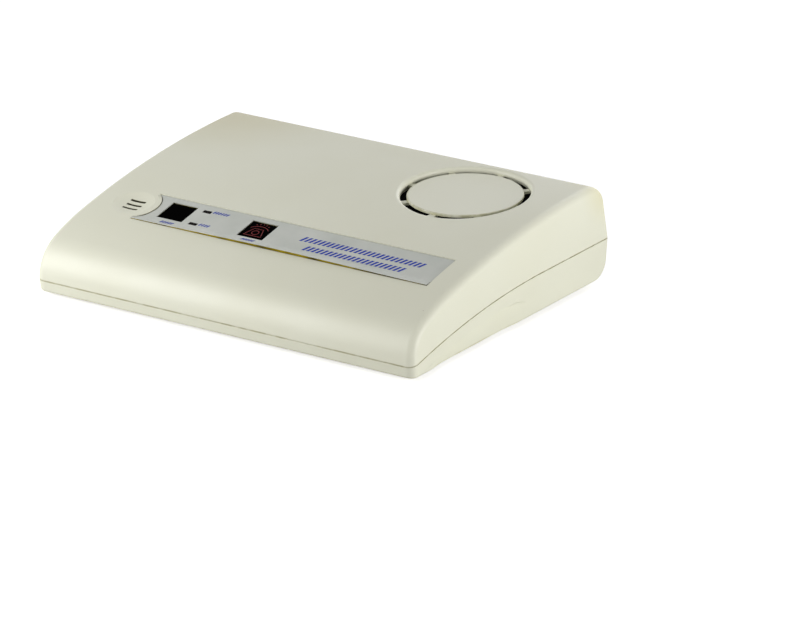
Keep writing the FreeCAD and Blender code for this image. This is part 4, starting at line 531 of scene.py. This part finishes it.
# %% Dress the construction nodes
BY_SLOT = {
    "case_plastic": case_abs, "overlay_print": film, "aged_adhesive": adhesive, "black_key": key_abs,
    "smoked_window": smoked, "lamp_resin": lamp_resin, "speaker_cloth": cloth,
    "speaker_steel": pressed_steel, "speaker_paper": paper, "screw_steel": zinc, "foot_rubber": rubber,
    "microphone_can": bright, "board_laminate": laminate, "black_moulding": black_nylon,
    "white_moulding": white_nylon, "transformer_core": lacquer, "bright_metal": bright,
    "contact_gold": gold, "cell_steel": nickel, "shrink_sleeve": sleeve, "lead_cover": lead_vinyl,
}
for row in frame["record"]["subparts"]:
    dressed = nodes[row["node"]].data
    dressed.materials.clear()
    dressed.materials.append(BY_SLOT[row["material_slot"]])

# %% [markdown]
# ## The lifted front edge
# The film was stuck down by a sheet of adhesive, and along its front edge it has let go: the edge
# stands up, most in the middle of its length, and the yellowed adhesive shows under it. A bent strip
# could be shaped by hand, but one function of the place gives the lift, so that the film, the
# adhesive and the print all follow it.

# %% How far the film lifts
LIFT_DEPTH_MM, LIFT_ENDS_MM, LIFT_MIDDLE_MM = 6.0, 0.6, 1.6
LIFT_CENTRE_MM, LIFT_SPREAD_MM = 8.0, 52.0
EDGE_OVERHANG_MM = 0.15
EDGE_BACK_MM = (strip_span.min() - STRIP_MIDDLE) / MM - EDGE_OVERHANG_MM


def lift(across, back):
    """height in mm over the flat face: (height at the edge) times (way to the edge) squared, where the
    height at the edge is a hump along the strip: ends + (middle - ends) / e to the (x / spread) squared"""
    way = np.clip((EDGE_BACK_MM + LIFT_DEPTH_MM - back) / LIFT_DEPTH_MM, 0, 1)
    hump = np.exp(-((np.asarray(across) - LIFT_CENTRE_MM) / LIFT_SPREAD_MM) ** 2)
    return (LIFT_ENDS_MM + (LIFT_MIDDLE_MM - LIFT_ENDS_MM) * hump) * way ** 2


print("lift at mid-length", round(float(lift(LIFT_CENTRE_MM, EDGE_BACK_MM)), 2), "mm")

# %% [markdown]
# ## Pieces from arrays
# A new piece is a set of points and a list of faces, worked out as whole arrays. A sheet with a
# thickness needs two grids of points, its top and its underside, and a wall round them that closes
# it. Solidify could thicken one grid, but the adhesive's underside is flat where its top is bent.

# %% A mesh piece and a slab
def mesh_piece(name, points, faces, material, body):
    """an object at the origin from arrays of points and faces, riding on a body"""
    mesh = bpy.data.meshes.new(name)
    mesh.from_pydata(np.asarray(points).reshape(-1, 3).tolist(), [], np.asarray(faces).tolist())
    mesh.materials.append(material)
    piece = bpy.data.objects.new(name, mesh)
    bpy.context.scene.collection.objects.link(piece)
    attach(piece, body)


def slab(top, bottom):
    """points and faces of a closed slab between two grids of rows and columns: both skins, and a wall
    of quads that joins the two rims"""
    rows, columns = top.shape[:2]
    number = np.arange(rows * columns).reshape(rows, columns)
    skin = np.stack([number[:-1, :-1], number[:-1, 1:], number[1:, 1:], number[1:, :-1]], axis=-1)
    skin = skin.reshape(-1, 4)
    rim = np.concatenate([number[0, :-1], number[:-1, -1], number[-1, :0:-1], number[:0:-1, 0]])
    onward = np.roll(rim, -1)
    below = rows * columns
    wall = np.stack([rim, rim + below, onward + below, onward], axis=-1)
    points = np.concatenate([top.reshape(-1, 3), bottom.reshape(-1, 3)])
    return points, np.concatenate([skin, skin[:, ::-1] + below, wall])


print("a slab of 3 by 2 points has", len(slab(np.zeros((3, 2, 3)), np.zeros((3, 2, 3)))[1]), "faces")

# %% The film's own ends
CURVED_END_MM, END_GAP_MM, EDGE_COLUMNS = 14.0, 0.05, 121
film_rim = np.stack([strip_points[:, 0] / MM, strip_span / MM - STRIP_MIDDLE / MM], axis=1)
curve = film_rim[film_rim[:, 0] < film_rim[:, 0].min() + CURVED_END_MM]
curve = curve[np.argsort(curve[:, 1])]


def edge_grid(reach_mm, rows):
    """places across and back: rows from the front edge inwards, each from the curved end of the film,
    read off its own points, to the straight one"""
    back = EDGE_BACK_MM + np.linspace(0, reach_mm, rows)[:, None]
    left = np.interp(back, curve[:, 1], curve[:, 0]) + END_GAP_MM
    right = film_rim[:, 0].max() - END_GAP_MM
    across = left + (right - left) * np.linspace(0, 1, EDGE_COLUMNS)[None, :]
    return across, np.broadcast_to(back, across.shape)


print("curved end", curve[0].round(2), "to", curve[-1].round(2))

# %% The lifted film and the adhesive under it
FILM_MM, SEAT_MM, RECESS_MM = 0.22, 0.03, 0.7
ADHESIVE_REACH_MM, ADHESIVE_SETBACK_MM = 1.4, 0.08
FILM_ROWS, ADHESIVE_ROWS = 13, 4
across, back = edge_grid(LIFT_DEPTH_MM, FILM_ROWS)
way = (back - EDGE_BACK_MM) / LIFT_DEPTH_MM
above = lift(across, back) - SEAT_MM * way
points, faces = slab(on_strip(across, back, above), on_strip(across, back, above - FILM_MM))
mesh_piece("lifted_film_edge", points, faces, film, "root")
across, back = edge_grid(ADHESIVE_REACH_MM, ADHESIVE_ROWS)
points, faces = slab(on_strip(across, back + ADHESIVE_SETBACK_MM, lift(across, back) - FILM_MM),
                     on_strip(across, back + ADHESIVE_SETBACK_MM, np.full(across.shape, -RECESS_MM)))
mesh_piece("edge_adhesive", points, faces, adhesive, "root")
print("adhesive reaches", ADHESIVE_REACH_MM, "mm under the film")

# %% [markdown]
# ## Ink
# Screen printing leaves a film of ink a few hundredths of a millimetre thick with crisp edges. An
# image would need an unwrapped face, and its edges would blur close up. So each mark is a thin raised
# plate, four corners on the face and four just above them, worked out for all marks at once.

# %% Marks as thin plates
INK_MM = 0.03


def bars(low, high):
    """points and faces of four-sided bars between two arrays of (bar, corner, place), whose corners run
    anticlockwise as seen from the high end"""
    points = np.concatenate([low, high], axis=1)
    shape = np.array([[4, 5, 6, 7], [3, 2, 1, 0], [0, 1, 5, 4], [1, 2, 6, 5], [2, 3, 7, 6], [3, 0, 4, 7]])
    faces = (np.arange(len(low))[:, None, None] * 8 + shape).reshape(-1, 4)
    return points.reshape(-1, 3), faces


def plates(quads, base_mm):
    """thin plates on the strip over an array of (mark, corner, across and back) quads"""
    return bars(on_strip(quads[..., 0], quads[..., 1], base_mm),
                on_strip(quads[..., 0], quads[..., 1], base_mm + INK_MM))


def dashes(start, count, pitch, width, height, slant):
    """a row of slanted bars: each stands on the row's foot and leans by the slant times its height"""
    left = start[0] + pitch * np.arange(count)
    lean = slant * height
    corners = [(left, 0), (left + width, 0), (left + width + lean, height), (left + lean, height)]
    return np.stack([np.stack([x, np.full(count, start[1] + y)], axis=-1) for x, y in corners], axis=1)


print("ink thickness", INK_MM, "mm")

# %% [markdown]
# ## Print on the strip
# The strip is printed in blue: two rows of slanted bars to the right of the keys, and a short row of
# smaller bars beside each key and lamp. They are plain generic marks, so each row is one function
# call, and the height of each corner follows the lift of the film.

# %% Blue marks
# screen ink: a thin, even layer of blue, flat and a little dull
blue_ink = uneven("blue_screen_ink", "#1F3FB4", "#1A369E", 0.5, 1.0, bump_share=0.05,
                  Specular_Ior_Level=0.15)
# each row: its first bar's foot, across and back in mm, and how many bars
ROWS = [((12.2, 0.4), 27), ((17.9, -6.2), 22)]
LABELS = [((-58.6, -10.0), 5), ((-40.0, 6.2), 6), ((-40.0, -5.5), 4), ((-13.9, -9.2), 5)]
BAR = dict(pitch=2.45, width=1.35, height=3.9, slant=0.45)
LABEL_BAR = dict(pitch=1.45, width=0.85, height=1.9, slant=0.45)
marks = [dashes(start, count, **BAR) for start, count in ROWS]
marks += [dashes(start, count, **LABEL_BAR) for start, count in LABELS]
marks = np.concatenate(marks)
points, faces = plates(marks, lift(marks[..., 0], marks[..., 1]))
mesh_piece("strip_print", points, faces, blue_ink, "root")
print(len(marks), "printed marks")

# %% [markdown]
# ## The help key's sign
# A generic ringing telephone, drawn as a few strokes: a rest, a dial and a bowed handset with five
# ticks over it. A bevelled curve would have round sides, and ink is flat. So a stroke is a ribbon:
# each point of its path is set out by half a width both ways.

# %% The key's face
help_low, help_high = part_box("help_key")
HELP_ACROSS = (help_low.x + help_high.x) / 2 / MM
key_points = vertices("help_key")
KEY_FACE = ((key_points @ STRIP_UP).max() - STRIP_FACE) / MM
key_span = key_points @ STRIP_BACK
KEY_BACK = ((key_span.min() + key_span.max()) / 2 - STRIP_MIDDLE) / MM
print("key's middle", round(HELP_ACROSS, 2), "across and", round(KEY_BACK, 2), "mm back")

# %% Strokes
STROKE_MM = 0.26


def stroke(path, closed=False):
    """quads of a ribbon along a path: neighbours' difference, turned a quarter, is its sideways step"""
    path = np.asarray(path, float)
    if closed:
        path = np.vstack([path, path[:1]])
    ahead = np.gradient(path, axis=0)
    if closed:
        ahead[0] = ahead[-1] = path[1] - path[-2]
    side = np.stack([-ahead[:, 1], ahead[:, 0]], axis=1)
    side *= STROKE_MM / 2 / np.linalg.norm(side, axis=1, keepdims=True)
    left, right = path + side, path - side
    return np.stack([right[:-1], right[1:], left[1:], left[:-1]], axis=1)


def bow(centre, radius_x, radius_y, first, last, count=25):
    """an arc of an ellipse between two angles in degrees"""
    turn = np.radians(np.linspace(first, last, count))
    return np.stack([centre[0] + radius_x * np.cos(turn), centre[1] + radius_y * np.sin(turn)], axis=1)


print("strokes are", STROKE_MM, "mm wide")

# %% The sign
# pad-printed ink: dusty red, rubbed thin on the key's face
red_ink = uneven("red_pad_ink", "#A4484A", "#7E3336", 0.5, 0.8, bump_share=0.05, Specular_Ior_Level=0.15)
TICK_TURNS, TICK_MM = (55, 73, 90, 107, 125), (5.3, 6.2)
body_path = np.array([(-4.8, -4.4), (4.8, -4.4), (4.2, -3.2), (2.4, 1.6), (-2.4, 1.6), (-4.2, -3.2)])
handset = bow((0.0, 0.2), 5.2, 3.7, 22, 158)
dial = bow((0, -1.6), 1.7, 1.7, 0, 345)
strokes = [stroke(body_path, closed=True), stroke(dial, closed=True), stroke(handset)]
for turn in TICK_TURNS:
    way = np.array([math.cos(math.radians(turn)), math.sin(math.radians(turn))])
    strokes.append(stroke(np.stack([way * TICK_MM[0], way * TICK_MM[1]])))
sign = np.concatenate(strokes) + (HELP_ACROSS, KEY_BACK)
points, faces = plates(sign, KEY_FACE)
mesh_piece("help_key_sign", points, faces, red_ink, "help_button")
print(len(sign), "stroke pieces")

# %% [markdown]
# ## Small details on the hardware
# The slide switch at the back has ribs for a fingernail, and each screw head that shows underneath
# has a cross recess for a driver. Neither carries or guides anything, so they aren't cut into the
# solids. The ribs are bars on the slider's face, and the recess is a dark cross that stands a hair
# over the head, as its shadow is all that shows.

# %% Ribs on the slide switch
RIB_MM, RIB_RISE_MM, RIB_ROOT_MM, RIB_COUNT = 0.5, 0.3, 0.1, 4
slider_low, slider_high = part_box("power_switch_slider")
rib_left = np.linspace(slider_low.x, slider_high.x, RIB_COUNT + 2)[1:-1] - RIB_MM * MM / 2
rib_z = np.array([slider_low.z, slider_low.z, slider_high.z, slider_high.z])


def rib_corners(depth):
    """corners of all the ribs at one depth, anticlockwise as seen from behind the case"""
    x = rib_left[:, None] + np.array([1, 0, 0, 1]) * RIB_MM * MM
    return np.stack([x, np.full_like(x, depth), np.broadcast_to(rib_z, x.shape)], axis=-1)


points, faces = bars(rib_corners(slider_high.y - RIB_ROOT_MM * MM),
                     rib_corners(slider_high.y + RIB_RISE_MM * MM))
mesh_piece("slide_switch_ribs", points, faces, black_nylon, "power_slider")
print(RIB_COUNT, "ribs")

# %% Cross recesses
CROSS_MM, ARM_MM, CROSS_RISE_MM, CROSS_ROOT_MM = 2.9, 0.7, 0.03, 0.05


def head_places(node):
    """the middle of each screw's head, which lies lowest: one group of points for each side and end"""
    points = vertices(node)
    points = points[points[:, 2] < points[:, 2].min() + CROSS_ROOT_MM * MM]
    group = (points[:, 0] > points[:, 0].mean()) * 2 + (points[:, 1] > points[:, 1].mean())
    groups = [points[group == number] for number in range(4)]
    return [(some.min(axis=0) + some.max(axis=0)) / 2 for some in groups]


heads = head_places("case_screws")
cover_screw = vertices("battery_cover_screw")
cover_middle = (cover_screw.min(axis=0) + cover_screw.max(axis=0)) / 2
heads.append(np.array([*cover_middle[:2], cover_screw[:, 2].min()]))
arm = np.array([(-CROSS_MM, -ARM_MM), (-CROSS_MM, ARM_MM), (CROSS_MM, ARM_MM), (CROSS_MM, -ARM_MM)])
arm = arm * MM / 2
arms = np.stack([arm, arm[:, ::-1][::-1]])
cross = np.concatenate([np.concatenate([arms, np.zeros((2, 4, 1))], axis=2) + head for head in heads])
points, faces = bars(cross + (0, 0, CROSS_ROOT_MM * MM), cross - (0, 0, CROSS_RISE_MM * MM))
# painted shade: a dark cross of blackened steel stands for the shadow in each screw's cross recess
mesh_piece("painted_screw_recess_shade", points, faces, pressed_steel, "root")
print(len(heads), "cross recesses at", [tuple(np.round(head / MM, 1)) for head in heads])

# %% [markdown]
# ## Floor
# The object stands on a plain pale surface. More lamps would make that surface white, but they would
# wash out the object too. So the floor is a pale disc that fades out, with no horizon, and to the
# camera alone it adds as much light of its own as makes a lit floor white. Its shadow stays.

# %% Floor
FLOOR_LIFT = 0.66
FLOOR_INNER, FLOOR_OUTER = 0.35, 0.75
FLOOR_DROP = 0.0002     # under the feet by this much, so that the two surfaces don't flicker


def pale_floor():
    """matt paper that glows to the camera alone, and fades to clear towards its rim"""
    material = bpy.data.materials.new("pale_floor")
    material.use_nodes = True
    tree = material.node_tree
    tree.nodes.clear()
    place = add(tree, "ShaderNodeTexCoord").outputs["Object"]
    paint = add(tree, "ShaderNodeBsdfDiffuse", {"Color": linear("#F2F2F2")})
    sight = add(tree, "ShaderNodeLightPath").outputs["Is Camera Ray"]
    strength = add(tree, "ShaderNodeMath", {0: sight, 1: FLOOR_LIFT}, operation="MULTIPLY")
    glow = add(tree, "ShaderNodeEmission", {"Strength": strength.outputs[0]})
    seen = add(tree, "ShaderNodeAddShader", {0: paint.outputs[0], 1: glow.outputs[0]})
    reach = add(tree, "ShaderNodeVectorMath", {0: place}, operation="LENGTH")
    fade = add(tree, "ShaderNodeMapRange", {"Value": reach.outputs["Value"], "From Min": FLOOR_INNER,
                                            "From Max": FLOOR_OUTER}, interpolation_type="SMOOTHSTEP")
    clear = add(tree, "ShaderNodeBsdfTransparent")
    whole = add(tree, "ShaderNodeMixShader", {0: fade.outputs[0], 1: seen.outputs[0], 2: clear.outputs[0]})
    add(tree, "ShaderNodeOutputMaterial", {"Surface": whole.outputs[0]})
    return material


ring = np.radians(np.arange(0, 360, 5))
rim = np.stack([FLOOR_OUTER * np.cos(ring), FLOOR_OUTER * np.sin(ring), np.full(len(ring), -FLOOR_DROP)],
               axis=1)
floor_mesh = bpy.data.meshes.new("floor")
floor_mesh.from_pydata(rim.tolist(), [], [list(range(len(ring)))])
floor_mesh.materials.append(pale_floor())
floor = bpy.data.objects.new("floor", floor_mesh)
bpy.context.scene.collection.objects.link(floor)
print("floor radius", FLOOR_OUTER, "m")

# %% [markdown]
# ## World and lamps
# The world is white to the camera and to reflections, and a moderate, even light to everything else.
# A picture of a room could light the object, but plain square lamps show its colours as they are
# written: one close by at the front left, a wide one at the right and a weak one behind.

# %% World
WORLD_LEVEL = 0.17
world = bpy.data.worlds.new("studio")
bpy.context.scene.world = world
world.use_nodes = True
tree = world.node_tree
tree.nodes.clear()
path = add(tree, "ShaderNodeLightPath")
seen = add(tree, "ShaderNodeMath", {0: path.outputs["Is Camera Ray"], 1: path.outputs["Is Glossy Ray"]},
           operation="MAXIMUM")
seen = add(tree, "ShaderNodeMath", {0: seen.outputs[0], 1: path.outputs["Is Transmission Ray"]},
           operation="MAXIMUM")
level = add(tree, "ShaderNodeMapRange", {"Value": seen.outputs[0], "To Min": WORLD_LEVEL, "To Max": 1.0})
sky = add(tree, "ShaderNodeBackground", {"Color": linear("#FFFFFF"), "Strength": level.outputs[0]})
add(tree, "ShaderNodeOutputWorld", {"Surface": sky.outputs[0]})
print("world level", WORLD_LEVEL)

# %% Lamps
def direction(azimuth, elevation):
    """unit vector towards a place round the object: azimuth 0 is in front, 90 to its right"""
    a, e = math.radians(azimuth), math.radians(elevation)
    return Vector((math.sin(a) * math.cos(e), -math.cos(a) * math.cos(e), math.sin(e)))


def softbox(name, azimuth, elevation, distance, size, level):
    """a square lamp whose light alone would show a facing white surface at this level:
    power = pi squared times distance squared times level"""
    lamp = bpy.data.lights.new(name, "AREA")
    lamp.size = size
    lamp.energy = math.pi ** 2 * distance ** 2 * level
    holder = bpy.data.objects.new(name, lamp)
    bpy.context.scene.collection.objects.link(holder)
    holder.location = direction(azimuth, elevation) * distance
    holder.rotation_mode = "QUATERNION"
    holder.rotation_quaternion = (-holder.location).to_track_quat("-Z", "Y")
    holder.visible_camera = False


softbox("front_left_softbox", azimuth=-42, elevation=22, distance=0.75, size=0.45, level=0.66)
softbox("right_softbox", azimuth=95, elevation=9, distance=2.5, size=1.4, level=0.74)
softbox("rear_softbox", azimuth=190, elevation=25, distance=3.0, size=1.6, level=0.25)
print(len(bpy.data.lights), "lamps")

# %% [markdown]
# ## Camera
# The camera stands where the photograph was taken from: its place, its right and its up were solved
# from edges of the case whose real directions are known. The three directions are the columns of its
# turn, because a camera looks along its own -Z.

# %% Camera
CAMERA_PLACE = Vector((1.22724, -1.76396, 0.78441))
CAMERA_RIGHT = Vector((0.82977, 0.5581, -0.00177))
CAMERA_UP = Vector((-0.19297, 0.28988, 0.93741))
LENS_MM, SENSOR_MM = 227.395, 36.0
camera_data = bpy.data.cameras.new("camera")
camera_data.lens = LENS_MM
camera_data.sensor_width = SENSOR_MM
camera_data.clip_end = 20.0
camera = bpy.data.objects.new("camera", camera_data)
bpy.context.scene.collection.objects.link(camera)
turn = Matrix((CAMERA_RIGHT, CAMERA_UP, CAMERA_RIGHT.cross(CAMERA_UP))).transposed()
camera.matrix_world = Matrix.Translation(CAMERA_PLACE) @ turn.to_4x4()
bpy.context.scene.camera = camera
bpy.context.scene.view_settings.view_transform = "Standard"
print("camera at", tuple(round(x, 3) for x in CAMERA_PLACE))
